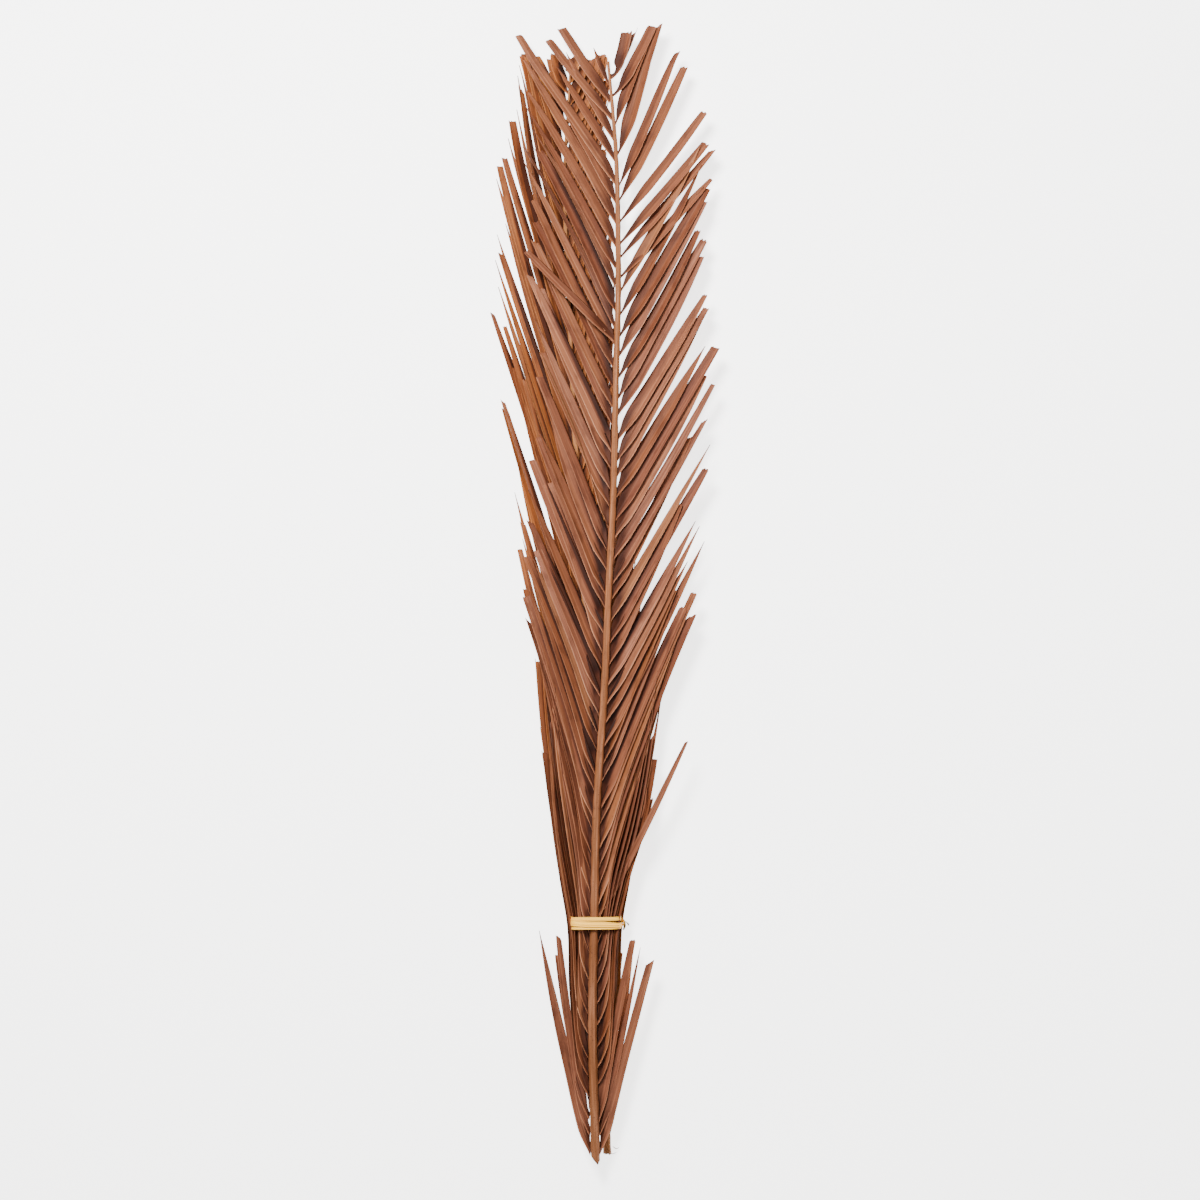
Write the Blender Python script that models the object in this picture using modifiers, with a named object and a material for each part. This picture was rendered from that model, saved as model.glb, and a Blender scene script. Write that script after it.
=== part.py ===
"""A tied bunch of two dried date palm fronds, lying flat, in metres with +Z up.

The bunch lies along Y: cut stem ends towards -Y, leaflet tips towards +Y. The front frond lies on
the back frond. Each frond is a tapering rachis with a row of V-folded leaflets down each side, and
a raffia tie of two strands goes round both. Neighbouring leaflets are joined in groups along a thin
strip beside their rachis, because there are over two hundred of them.
"""

import math

import bmesh
import bpy
import numpy as np

# The bunch
TIE_Y = -0.328
TIE_CENTRE_X = -0.011
GAP = 0.0003  # clearance between pieces that touch

# Leaflets
LEAFLETS_PER_SIDE = 54
GROUPS_PER_SIDE = 12
LEAFLET_WIDTH = 0.0132
LEAFLET_THICKNESS = 0.0007
FOLD_DEPTH = 0.20  # depth of the V as a share of the width
FOLDED_SHARE = 0.15  # how much of its width a blade loses where it is folded in the narrow bunch
BASE_HALF_WIDTH = 0.0018
FOOT_DROP = 0.55  # leaflets spring from this share of the rachis's radius below its centre
STRIP_WIDTH = 0.0010
FULL_REACH = 0.150  # how far up the bunch a full-grown leaflet reaches past its own foot
SHORTEST_REACH = 0.040
TOP_STRETCH = 0.070  # near the rachis tip, leaflets stand closer to it
GROWING_LENGTH = 0.250  # the stretch below the rachis tip where leaflets are still short
FREE_BELOW_Y = {1: -0.522, -1: -0.544}  # leaflets with their feet below this lean away, outside the tie
FREE_ANGLE = math.radians(13.5)
SHORT_BELOW_Y = -0.458  # leaflets with their feet below this end just under the tie
FREE_TIP_Y = TIE_Y - 0.024
FILLING_LENGTH = 0.055  # within about this far above its foot a short leaflet is in its place
BOUND_BELOW_Y, FANNED_ABOVE_Y = -0.30, -0.12  # the tie holds in the leaflets below, not those above
TOPMOST = {  # the front frond's last leaflets: foot, reach, how far out the tip stands, width share
    1: ((0.318, 0.124, 0.0915, 0.75), (0.338, 0.118, 0.0930, 0.75), (0.357, 0.114, 0.0860, 0.75),
        (0.377, 0.118, 0.0810, 0.75), (0.396, 0.131, 0.0740, 0.80), (0.414, 0.128, 0.0620, 0.75),
        (0.442, 0.122, 0.0500, 0.95), (0.471, 0.086, 0.0385, 0.80), (0.500, 0.066, 0.0300, 0.75),
        (0.5185, 0.045, 0.0200, 0.50)),
    -1: ((0.352, 0.150, 0.0830, 0.85), (0.375, 0.155, 0.0840, 0.85), (0.395, 0.140, 0.0780, 0.80),
         (0.414, 0.142, 0.0800, 0.85), (0.437, 0.105, 0.0640, 0.75), (0.458, 0.085, 0.0540, 0.75),
         (0.478, 0.076, 0.0500, 0.75), (0.4955, 0.070, 0.0420, 0.80), (0.514, 0.036, 0.0200, 0.45)),
}
ROW_SHARES = (0.30, 0.66, 1.0)  # where a leaflet's cross-sections lie along it
WIDTH_SHARES = (1.0, 0.86, 0.30)  # its widths there, as shares of the full width
CUT_TIP_SHARE = 0.45  # the width of a tip that was trimmed
STEEP_TILT = math.radians(70)  # blades stand on edge where the bunch is narrow
FLAT_TILT = math.radians(36)
NARROW, WIDE = 0.022, 0.090  # half-widths of the bunch at which those two tilts hold

# Raffia
STRAND_WIDTH = 0.0055
STRAND_THICKNESS = 0.0010
TIE_HALF_WIDTH = 0.0250
TIE_HALF_HEIGHT = 0.0162
TIE_CENTRE_Z = 0.0180
TIE_SQUARENESS = 4.0
TIE_POINTS = 40
TIE_BOTTOM = 0.0020  # the raffia lies under the bunch, so the leaflets there stand this much higher
TIE_LIFT_LENGTH = 0.055

COLOURS = {  # linear RGB, roughness
    "rachis_front": ((0.41, 0.20, 0.11), 0.65),
    "rachis_back": ((0.45, 0.22, 0.10), 0.65),
    "leaflets_front": ((0.37, 0.16, 0.09), 0.75),
    "leaflets_back": ((0.36, 0.13, 0.055), 0.75),
    "raffia": ((0.80, 0.56, 0.29), 0.70),
}


def through(knots):
    """A smooth function through (position, value) pairs, constant beyond its ends."""
    at, value = (np.array(column, float) for column in zip(*knots))
    slope = np.gradient(value, at)

    def curve(position):
        position = float(np.clip(position, at[0], at[-1]))
        i = int(np.clip(np.searchsorted(at, position) - 1, 0, len(at) - 2))
        span = at[i + 1] - at[i]
        t = (position - at[i]) / span
        return float(
            value[i] * (1 + 2 * t) * (1 - t) ** 2
            + slope[i] * span * t * (1 - t) ** 2
            + value[i + 1] * t * t * (3 - 2 * t)
            - slope[i + 1] * span * t * t * (1 - t)
        )

    return curve


class Frond:
    """The rules of one frond: where its rachis runs, and how wide its leaflets spread."""

    def __init__(self, name, base_y, tip_y, centre_x, centre_z, radius, spreads, rise, width,
                 trimmed_y, seed, topmost):
        self.width, self.trimmed_y = width, trimmed_y
        self.topmost = {side: {row[0]: row[1:] for row in topmost[side]} for side in (-1, 1)}
        self.name, self.base_y, self.tip_y = name, base_y, tip_y
        self.x, self.z, self.radius = through(centre_x), through(centre_z), through(radius)
        self.spread = {side: through(knots) for side, knots in spreads.items()}
        self.rise = rise  # how far a leaflet tip stands above its rachis; None lays it on the floor
        self.rng = np.random.default_rng(seed)

    def foot_z(self, y):
        """The height at which leaflets spring from the rachis, a little below its centre."""
        return self.z(y) - FOOT_DROP * self.radius(y)

    def feet(self, side):
        """Positions of the leaflet feet along one side, from the base up, a little unevenly spaced."""
        first, last = self.base_y + 0.016, self.tip_y - 0.016
        even = np.linspace(first, last, LEAFLETS_PER_SIDE)
        half_step = 0.25 * side * (even[1] - even[0])
        feet = even + half_step + self.rng.uniform(-0.002, 0.002, LEAFLETS_PER_SIDE)
        topmost = sorted(self.topmost[side])
        if topmost:
            feet[-len(topmost):] = topmost
        return feet

    def usual_reach(self, foot):
        """How far up the bunch the leaflets near this foot reach: less towards the rachis tip."""
        grown = min(1.0, (self.tip_y - foot) / GROWING_LENGTH)
        return SHORTEST_REACH + (FULL_REACH - SHORTEST_REACH) * grown**0.6

    def reach(self, side, foot):
        """How far up the bunch the leaflet of this foot reaches, each a little different."""
        if foot in self.topmost[side]:
            return self.topmost[side][foot][0]
        reach = self.usual_reach(foot) * self.rng.uniform(0.93, 1.05)
        if foot < SHORT_BELOW_Y:
            return min(1.12 * reach, FREE_TIP_Y - foot)
        return min(reach, self.trimmed_y - foot)

    def out(self, side, foot, height):
        """How far beyond the rachis the leaflet of this foot is, at this height above its foot."""
        if foot < FREE_BELOW_Y[side]:
            return height * math.tan(FREE_ANGLE)
        if foot < SHORT_BELOW_Y:
            rank = 0.80 + 0.20 * np.clip((SHORT_BELOW_Y - foot) / 0.06, 0, 1)
            return rank * self.spread[side](foot + height) * (1 - math.exp(-height / FILLING_LENGTH))
        if foot in self.topmost[side]:
            reach, tip_out = self.topmost[side][foot][:2]
            return tip_out * (height / reach) ** 0.95
        top = min(1.0, 0.25 + 0.75 * (self.tip_y - foot) / TOP_STRETCH)
        reach = self.usual_reach(foot)
        bound = np.clip((FANNED_ABOVE_Y - foot) / (FANNED_ABOVE_Y - BOUND_BELOW_Y), 0, 1)
        spread = bound * self.spread[side](foot + height) + (1 - bound) * self.spread[side](foot + reach)
        return top * spread * (height / reach) ** (0.93 - 0.08 * bound)

    def width_of(self, side, foot):
        """The width of the leaflet of this foot."""
        return self.width * (self.topmost[side][foot][2] if foot in self.topmost[side] else 1.0)


FRONT = Frond(
    "front",
    base_y=-0.566,
    tip_y=0.534,
    centre_x=[(-0.57, -0.0112), (-0.54, -0.0122), (-0.25, -0.0110), (-0.02, 0.0012),
              (0.19, 0.0090), (0.34, 0.0113), (0.43, 0.0102), (0.534, 0.0010)],
    centre_z=[(-0.57, 0.0262), (-0.30, 0.0270), (0.10, 0.0235), (0.534, 0.0195)],
    radius=[(-0.57, 0.0046), (-0.38, 0.0042), (-0.12, 0.0036), (0.10, 0.0031),
            (0.30, 0.0024), (0.43, 0.0016), (0.534, 0.0010)],
    spreads={
        1: [(-0.56, 0.016), (-0.46, 0.019), (-0.36, 0.0205), (TIE_Y, 0.0172), (-0.29, 0.030),
            (-0.234, 0.048), (-0.15, 0.062), (-0.08, 0.078), (0.03, 0.088), (0.30, 0.093),
            (0.42, 0.093), (0.50, 0.084), (0.56, 0.075)],
        -1: [(-0.56, 0.016), (-0.46, 0.019), (-0.36, 0.0195), (TIE_Y, 0.0148), (-0.29, 0.030),
             (-0.234, 0.042), (-0.15, 0.060), (-0.08, 0.076), (0.03, 0.090), (0.22, 0.096),
             (0.36, 0.092), (0.45, 0.086), (0.56, 0.074)],
    },
    rise=0.007,
    width=LEAFLET_WIDTH,
    trimmed_y=0.5675,
    seed=11,
    topmost=TOPMOST,
)
BACK = Frond(
    "back",
    base_y=-0.562,
    tip_y=0.525,
    centre_x=[(-0.565, 0.0003), (-0.45, -0.0030), (TIE_Y, -0.0080), (-0.044, -0.0200),
              (0.186, -0.0330), (0.346, -0.0405), (0.43, -0.0420), (0.525, -0.0370)],
    centre_z=[(-0.565, 0.0045), (-0.47, 0.0085), (TIE_Y, 0.0088), (0.10, 0.0080), (0.525, 0.0070)],
    radius=[(-0.565, 0.0041), (-0.38, 0.0038), (-0.12, 0.0034), (0.10, 0.0029),
            (0.30, 0.0022), (0.43, 0.0016), (0.525, 0.0010)],
    spreads={
        1: [(-0.56, 0.011), (-0.46, 0.015), (-0.36, 0.0178), (TIE_Y, 0.0166), (-0.29, 0.026),
            (-0.234, 0.036), (-0.15, 0.050), (-0.03, 0.060), (0.12, 0.058), (0.36, 0.052),
            (0.56, 0.044)],
        -1: [(-0.56, 0.016), (-0.46, 0.020), (-0.36, 0.0210), (TIE_Y, 0.0180), (-0.29, 0.028),
             (-0.234, 0.038), (-0.15, 0.050), (-0.03, 0.062), (0.12, 0.068), (0.36, 0.066),
             (0.56, 0.052)],
    },
    rise=None,
    width=0.93 * LEAFLET_WIDTH,
    trimmed_y=0.5435,
    seed=12,
    topmost={1: (), -1: ()},
)


def clear_scene():
    """Removes every object of the startup scene."""
    for obj in list(bpy.data.objects):
        bpy.data.objects.remove(obj, do_unlink=True)


def material(name):
    """The named material of COLOURS, made on first use."""
    found = bpy.data.materials.get(name)
    if found:
        return found
    colour, roughness = COLOURS[name]
    made = bpy.data.materials.new(name)
    made.use_nodes = True
    shader = made.node_tree.nodes["Principled BSDF"]
    shader.inputs["Base Color"].default_value = (*colour, 1)
    shader.inputs["Roughness"].default_value = roughness
    made.diffuse_color = (*colour, 1)
    return made


def add_object(name, data, collection, material_name):
    """An object of this mesh or curve in the collection, with its material."""
    obj = bpy.data.objects.new(name, data)
    data.materials.append(material(material_name))
    collection.objects.link(obj)
    return obj


def thicken(obj, thickness):
    """Gives an open surface its thickness, half to each side."""
    solid = obj.modifiers.new("thickness", "SOLIDIFY")
    solid.thickness = thickness
    solid.offset = 0


def leaflet_rows(frond, side, foot, reach, spread_share=1.0, lift=0.0, width=LEAFLET_WIDTH, cut=False):
    """Cross-sections of one leaflet above its foot, each as (inner edge, fold, outer edge).

    The fold follows the spread of the bunch at each height, so that neighbours stay in order, and
    the blade leans so that its outer edge is the higher one.
    """
    def fold(share):
        y = foot + reach * share
        out = spread_share * frond.out(side, foot, reach * share)
        return np.array([frond.x(y) + side * (frond.radius(foot) + out), y, 0.0]), out

    shares = list(ROW_SHARES)
    tie_share = (TIE_Y - foot) / reach
    if 0.12 < tie_share < 0.9:  # a cross-section under the tie, where the bunch is narrowest
        shares[0 if tie_share < 0.5 else 1] = tie_share
    rows = []
    for share in shares:
        width_share = np.interp(share, (0.0, *ROW_SHARES), (0.3, *WIDTH_SHARES))
        point, out = fold(share)
        along = point - fold(share - 0.1)[0]
        along /= np.linalg.norm(along)
        across = np.array([side * along[1], -side * along[0], 0.0])
        spread = frond.spread[side](point[1])
        openness = np.clip((spread - NARROW) / (WIDE - NARROW), 0, 1)
        tilt = STEEP_TILT + (FLAT_TILT - STEEP_TILT) * openness
        if cut and share == 1.0:
            width_share = CUT_TIP_SHARE
        half = 0.5 * width * width_share * (1 - FOLDED_SHARE * (1 - openness))
        if frond.rise is None:
            resting = half * math.sin(tilt) + FOLD_DEPTH * half + LEAFLET_THICKNESS
            over_tie = TIE_BOTTOM * math.exp(-(((point[1] - TIE_Y) / TIE_LIFT_LENGTH) ** 2))
            point[2] = max(frond.foot_z(foot) * (1 - share) ** 2, resting + over_tie)
        else:
            point[2] = frond.foot_z(foot) + frond.rise * out / WIDE
        point[2] += lift * min(1, share / ROW_SHARES[0])
        edge = half * (across * math.cos(tilt) + np.array([0, 0, math.sin(tilt)]))
        up = np.array([0, 0, math.cos(tilt)]) - across * math.sin(tilt)
        sag = up * FOLD_DEPTH * half
        rows.append((point - edge + sag, point - sag, point + edge + sag))
    return rows


def comb_mesh(name, frond, side, feet, rows_of, lift=0.0):
    """One surface: a strip beside the rachis, and a V-folded leaflet standing on it at each foot."""
    shape = bmesh.new()
    verts_at = []
    for foot in feet:
        for y in (foot - BASE_HALF_WIDTH, foot, foot + BASE_HALF_WIDTH):
            x = frond.x(y) + side * (frond.radius(y) + GAP + LEAFLET_THICKNESS / 2)
            z = frond.foot_z(y) + lift
            verts_at.append((shape.verts.new((x, y, z)),
                             shape.verts.new((x + side * STRIP_WIDTH, y, z))))
    for (inner, outer), (next_inner, next_outer) in zip(verts_at, verts_at[1:]):
        shape.faces.new((inner, outer, next_outer, next_inner))
    for number, foot in enumerate(feet):
        lower, middle, upper = (pair[1] for pair in verts_at[3 * number : 3 * number + 3])
        previous = (upper, middle, lower)
        for row in rows_of(foot):
            current = tuple(shape.verts.new(point) for point in row)
            for side_of_fold in (0, 1):
                shape.faces.new((previous[side_of_fold], previous[side_of_fold + 1],
                                 current[side_of_fold + 1], current[side_of_fold]))
            previous = current
    bmesh.ops.recalc_face_normals(shape, faces=shape.faces)
    mesh = bpy.data.meshes.new(name)
    shape.to_mesh(mesh)
    shape.free()
    return mesh


def add_leaflet_groups(frond, side, collection):
    """Every leaflet of one side of a frond, as groups numbered from the base up."""
    side_name = "right" if side > 0 else "left"
    groups = np.array_split(frond.feet(side), GROUPS_PER_SIDE)
    for number, feet in enumerate(groups, start=1):
        name = f"leaflets_{frond.name}_{side_name}_{number:02d}"

        def rows_of(foot):
            return leaflet_rows(frond, side, foot, frond.reach(side, foot),
                                width=frond.width_of(side, foot), cut=frond.rng.random() < 0.3)

        mesh = comb_mesh(name, frond, side, feet, rows_of)
        thicken(add_object(name, mesh, collection, f"leaflets_{frond.name}"), LEAFLET_THICKNESS)


def add_rachis(frond, collection, cut_normal):
    """The tapering stem of a frond, its base cut by a slanting plane."""
    ys = np.linspace(frond.base_y - 0.01, frond.tip_y, 26)
    curve = bpy.data.curves.new("rachis", "CURVE")
    curve.dimensions = "3D"
    curve.bevel_depth = 1.0
    curve.bevel_resolution = 2
    curve.use_fill_caps = True
    spline = curve.splines.new("POLY")
    spline.points.add(len(ys) - 1)
    for point, y in zip(spline.points, ys):
        point.co = (frond.x(y), y, frond.z(y), 1)
        point.radius = frond.radius(y)
    guide = bpy.data.objects.new("rachis_guide", curve)
    mesh = bpy.data.meshes.new_from_object(guide)
    bpy.data.objects.remove(guide)
    bpy.data.curves.remove(curve)
    shape = bmesh.new()
    shape.from_mesh(mesh)
    bmesh.ops.remove_doubles(shape, verts=shape.verts, dist=0.00001)
    base = (frond.x(frond.base_y), frond.base_y, frond.z(frond.base_y))
    bmesh.ops.bisect_plane(shape, geom=shape.verts[:] + shape.edges[:] + shape.faces[:],
                           plane_co=base, plane_no=cut_normal, clear_inner=True)
    bmesh.ops.holes_fill(shape, edges=[edge for edge in shape.edges if edge.is_boundary])
    bmesh.ops.recalc_face_normals(shape, faces=shape.faces)
    shape.to_mesh(mesh)
    shape.free()
    mesh.name = f"rachis_{frond.name}"
    mesh.materials.clear()
    add_object(mesh.name, mesh, collection, mesh.name)


def tie_outline(angle, margin=0.0):
    """A point (x, z) of the rounded outline that the raffia follows round the bunch."""
    power = 2 / TIE_SQUARENESS
    cos, sin = math.cos(angle), math.sin(angle)
    return (
        TIE_CENTRE_X + (TIE_HALF_WIDTH + margin) * math.copysign(abs(cos) ** power, cos),
        TIE_CENTRE_Z + (TIE_HALF_HEIGHT + margin) * math.copysign(abs(sin) ** power, sin),
    )


def add_strand(name, y, drift, collection):
    """One closed turn of raffia round the bunch; drift moves it along the bunch on the upper side."""
    shape = bmesh.new()
    loops = []
    for angle in np.linspace(0, 2 * math.pi, TIE_POINTS, endpoint=False):
        x, z = tie_outline(angle, STRAND_THICKNESS)
        middle = y + drift * math.sin(angle)
        loops.append([shape.verts.new((x, middle + edge * STRAND_WIDTH / 2, z)) for edge in (-1, 1)])
    for (low, high), (next_low, next_high) in zip(loops, loops[1:] + loops[:1]):
        shape.faces.new((low, next_low, next_high, high))
    bmesh.ops.recalc_face_normals(shape, faces=shape.faces)
    mesh = bpy.data.meshes.new(name)
    shape.to_mesh(mesh)
    shape.free()
    thicken(add_object(name, mesh, collection, "raffia"), STRAND_THICKNESS)


def add_ribbon(name, points, widths, collection):
    """A flat raffia end along these points, lying in planes that hold the Y axis."""
    shape = bmesh.new()
    pairs = [[shape.verts.new((x, y + edge * width / 2, z)) for edge in (-1, 1)]
             for (x, y, z), width in zip(points, widths)]
    for (low, high), (next_low, next_high) in zip(pairs, pairs[1:]):
        shape.faces.new((low, next_low, next_high, high))
    mesh = bpy.data.meshes.new(name)
    shape.to_mesh(mesh)
    shape.free()
    thicken(add_object(name, mesh, collection, "raffia"), STRAND_THICKNESS * 0.7)


def add_tie(collection):
    """The raffia: two turns side by side, a flat knot at the right, and its two short ends."""
    offset = (STRAND_WIDTH + GAP) / 2
    add_strand("raffia_strand_1", TIE_Y + offset, 0.0, collection)
    add_strand("raffia_strand_2", TIE_Y - offset, 0.0, collection)
    knot_x = tie_outline(0, 1.5 * STRAND_THICKNESS)[0] + GAP
    knot_size = (0.0036, 0.0085, 0.0064)
    knot = bmesh.new()
    bmesh.ops.create_cube(knot, size=1.0)
    bmesh.ops.scale(knot, vec=knot_size, verts=knot.verts)
    bmesh.ops.translate(knot, vec=(knot_x + knot_size[0] / 2, TIE_Y, TIE_CENTRE_Z), verts=knot.verts)
    mesh = bpy.data.meshes.new("raffia_knot")
    knot.to_mesh(mesh)
    knot.free()
    obj = add_object("raffia_knot", mesh, collection, "raffia")
    bevel = obj.modifiers.new("rounding", "BEVEL")
    bevel.width = 0.0014
    bevel.segments = 2
    far_x = knot_x + knot_size[0] + GAP + STRAND_THICKNESS
    for number, sign in ((1, 1), (2, -1)):
        turns = np.linspace(0, 1, 7)
        points = [(far_x + (0.003 + 0.001 * sign) * t, TIE_Y + sign * (0.0022 + 0.004 * t) - 0.011 * t,
                   TIE_CENTRE_Z - 0.012 * t * t) for t in turns]
        add_ribbon(f"raffia_end_{number}", points, 0.0030 * (1 - 0.6 * turns), collection)


def add_crossing_leaflet(collection):
    """The one front leaflet that lies across its neighbours, over them and at a wider angle."""
    foot, reach = 0.256, 0.086
    mesh = comb_mesh("leaflet_front_left_crossing", FRONT, -1, [foot],
                     lambda y: leaflet_rows(FRONT, -1, y, reach, 0.82, 0.009, cut=True), lift=0.0042)
    obj = add_object(mesh.name, mesh, collection, "leaflets_front")
    thicken(obj, LEAFLET_THICKNESS)


def add_stray_leaflet(collection):
    """The one front leaflet that stands out of the bunch on the right, above the tie."""
    foot, reach = -0.318, 0.172
    mesh = comb_mesh("leaflet_front_right_stray", FRONT, 1, [foot],
                     lambda y: leaflet_rows(FRONT, 1, y, reach, 1.22, 0.011, cut=True), lift=0.0052)
    obj = add_object(mesh.name, mesh, collection, "leaflets_front")
    thicken(obj, LEAFLET_THICKNESS)


def rest_on_floor(collection):
    """Moves the bunch so that its box is centred on X and Y and its lowest point is at zero."""
    graph = bpy.context.evaluated_depsgraph_get()
    low, high = np.full(3, np.inf), np.full(3, -np.inf)
    for obj in collection.objects:
        evaluated = obj.evaluated_get(graph)
        mesh = evaluated.to_mesh()
        points = np.empty(len(mesh.vertices) * 3, np.float32)
        mesh.vertices.foreach_get("co", points)
        evaluated.to_mesh_clear()
        low = np.minimum(low, points.reshape(-1, 3).min(axis=0))
        high = np.maximum(high, points.reshape(-1, 3).max(axis=0))
    shift = np.array([-(low[0] + high[0]) / 2, -(low[1] + high[1]) / 2, -low[2]])
    for obj in collection.objects:
        obj.location = shift


def main():
    clear_scene()
    parts = bpy.data.collections.new("dried date palm fronds")
    bpy.context.scene.collection.children.link(parts)
    add_rachis(FRONT, parts, cut_normal=(0.78, 0.62, 0.10))
    add_rachis(BACK, parts, cut_normal=(0.0, 1.0, 0.15))
    for frond in (FRONT, BACK):
        for side in (-1, 1):
            add_leaflet_groups(frond, side, parts)
    add_crossing_leaflet(parts)
    add_stray_leaflet(parts)
    add_tie(parts)
    rest_on_floor(parts)


main()
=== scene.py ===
"""The looks of a tied bunch of two dried date palm fronds, dressed over its CAD frame.

The bunch lies on a pale floor and the camera looks straight down on it. Every leaflet is a thin,
closed, V-folded blade computed as a surface, and four or five neighbours make one piece, which stands
for the CAD node of the same place. Lengths are in metres, in the frame's own axes: +Y runs from the
cut stem ends to the leaflet tips.
"""

import logging
import math
from dataclasses import dataclass, field
from enum import Enum
from typing import Callable, Optional, Sequence, Union

import bpy
import numpy as np
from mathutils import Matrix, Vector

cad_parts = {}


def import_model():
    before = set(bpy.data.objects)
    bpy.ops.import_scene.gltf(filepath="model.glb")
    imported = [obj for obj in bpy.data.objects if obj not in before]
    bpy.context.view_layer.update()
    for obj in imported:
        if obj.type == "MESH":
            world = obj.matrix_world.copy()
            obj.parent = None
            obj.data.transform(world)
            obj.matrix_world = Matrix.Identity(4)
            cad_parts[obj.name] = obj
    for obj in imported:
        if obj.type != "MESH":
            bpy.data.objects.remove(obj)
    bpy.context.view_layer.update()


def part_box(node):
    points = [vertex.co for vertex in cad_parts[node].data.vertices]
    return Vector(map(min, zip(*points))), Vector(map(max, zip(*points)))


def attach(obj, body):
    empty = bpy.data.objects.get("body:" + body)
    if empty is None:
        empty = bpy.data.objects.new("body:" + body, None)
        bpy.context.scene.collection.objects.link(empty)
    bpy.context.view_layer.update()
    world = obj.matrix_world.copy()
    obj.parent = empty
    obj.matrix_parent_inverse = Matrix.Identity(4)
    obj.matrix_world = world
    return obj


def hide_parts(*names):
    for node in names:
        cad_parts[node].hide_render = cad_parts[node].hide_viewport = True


LOG = logging.getLogger("palm_bunch")

Array = np.ndarray
Colour = tuple[float, float, float]
Knots = tuple[tuple[float, float], ...]

BODY = "root"
TIE_Y = -0.328
LEAFLETS_PER_SIDE = 54
GROUPS_PER_SIDE = 12
TOP_STRETCH = 0.070
CONTACT_SHADE = 0.82
# Where and how wide the dark band under each rachis is: painted shade for the recesses at the lower leaflet
# feet.
SHADE_STRIP_TOP_Y = -0.10
SHADE_STRIP_WIDTH = 0.0190
WIDE, NARROW = 0.090, 0.022
BOUND_BELOW_Y, FANNED_ABOVE_Y = -0.30, -0.12
GRIPPED_BELOW_Y, LOOSE_ABOVE_Y = -0.38, -0.29
HOOK_LENGTH, REST_LENGTH = 0.006, 0.085
HOOK_SHARE = 0.22
FOOT_DROP = 0.55


class Side(Enum):
    """The two sides of a frond as the camera sees it; the value is the sign of X."""

    LEFT = -1
    RIGHT = 1


FREE_BELOW_Y = {Side.LEFT: -0.545, Side.RIGHT: -0.523}


class Tip(Enum):
    """How a leaflet ends."""

    POINTED = "pointed"
    CUT = "cut"
    SLANTED = "slanted"


# --------------------------------------------------------------------------------------- curves


@dataclass(frozen=True)
class SmoothCurve:
    """A smooth function through (position, value) knots, constant beyond its ends."""

    knots: Knots

    def __call__(self, position: Union[float, Array]) -> Array:
        """Evaluates the curve: a cubic between two knots whose slopes come from their neighbours.

        Args:
            position: where to evaluate, a number or an array.

        Returns:
            The values, in the shape of position.
        """
        at, value = np.array(self.knots, float).T
        slope = np.gradient(value, at)
        where = np.clip(position, at[0], at[-1])
        i = np.clip(np.searchsorted(at, where) - 1, 0, len(at) - 2)
        span = at[i + 1] - at[i]
        t = (where - at[i]) / span
        start = value[i] * (1 + 2 * t) * (1 - t) ** 2 + slope[i] * span * t * (1 - t) ** 2
        end = value[i + 1] * t * t * (3 - 2 * t) - slope[i + 1] * span * t * t * (1 - t)
        return start + end


def smooth_step(value: Union[float, Array], low: float, high: float) -> Array:
    """0 below low, 1 above high, and an S-shaped rise between."""
    t = np.clip((value - low) / (high - low), 0, 1)
    return t * t * (3 - 2 * t)


# --------------------------------------------------------------------------------------- meshes


@dataclass
class Surface:
    """A closed tube-like surface as a grid: rows along it, columns round it.

    Attributes:
        points: positions, of shape (rows, columns, 3).
        data: named point attributes, each of shape (rows, columns, 3 or 4).
    """

    points: Array
    data: dict[str, Array] = field(default_factory=dict)

    def faces(self, first: int) -> tuple[Array, Array]:
        """Quads between neighbouring rows and columns, and the two end caps, all facing outward.

        Args:
            first: the index of this grid's first point in the whole mesh.

        Returns:
            The quads, of shape (n, 4), and the caps, of shape (2, columns).
        """
        rows, columns = self.points.shape[:2]
        index = first + np.arange(rows * columns).reshape(rows, columns)
        if self.volume() < 0:
            index = index[:, ::-1]
        beside = np.roll(index, -1, axis=1)
        quads = np.stack([index[:-1], beside[:-1], beside[1:], index[1:]], axis=-1)
        caps = np.stack([index[0][::-1], index[-1]])
        return quads.reshape(-1, 4), caps

    def volume(self) -> float:
        """The volume within, negative where the columns run the other way round.

        Each quad between two rows, and each cap's fan, makes a tetrahedron with the middle of all
        points; a sixth of the sum of their triple products is the volume.

        Returns:
            The signed volume, in cubic metres.
        """
        grid = self.points - self.points.mean(axis=(0, 1))
        beside = np.roll(grid, -1, axis=1)
        low, low_next, high, high_next = grid[:-1], beside[:-1], grid[1:], beside[1:]
        total = np.sum(np.cross(low, low_next) * high_next) + np.sum(np.cross(low, high_next) * high)
        for row, sign in ((grid[0], -1), (grid[-1], 1)):
            total += sign * np.sum(np.cross(row[1:-1], row[2:]) * row[0])
        return float(total / 6)


def leaf_data(shape: tuple[int, int], across: Array, along: Array, place: Array, warmth: float,
              light: Union[float, Array], seed: float,
              share: Union[float, Array]) -> dict[str, Array]:
    """The point attributes that the leaf and raffia finishes read, each spread over the grid.

    Args:
        shape: the grid's rows and columns.
        across: metres across the blade, from its fold.
        along: metres along it, from its foot.
        place: place across it, from -1 to 1.
        warmth, light, seed, share: its colour's warmth and brightness, its seed, and its share of the
            natural length.

    Returns:
        The attributes "blade" and "tint".
    """
    def spread(*values: Union[float, Array]) -> Array:
        return np.stack([np.broadcast_to(value, shape) for value in values], axis=-1)

    return {"blade": spread(across, along, place), "tint": spread(warmth, light, seed, share)}


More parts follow.
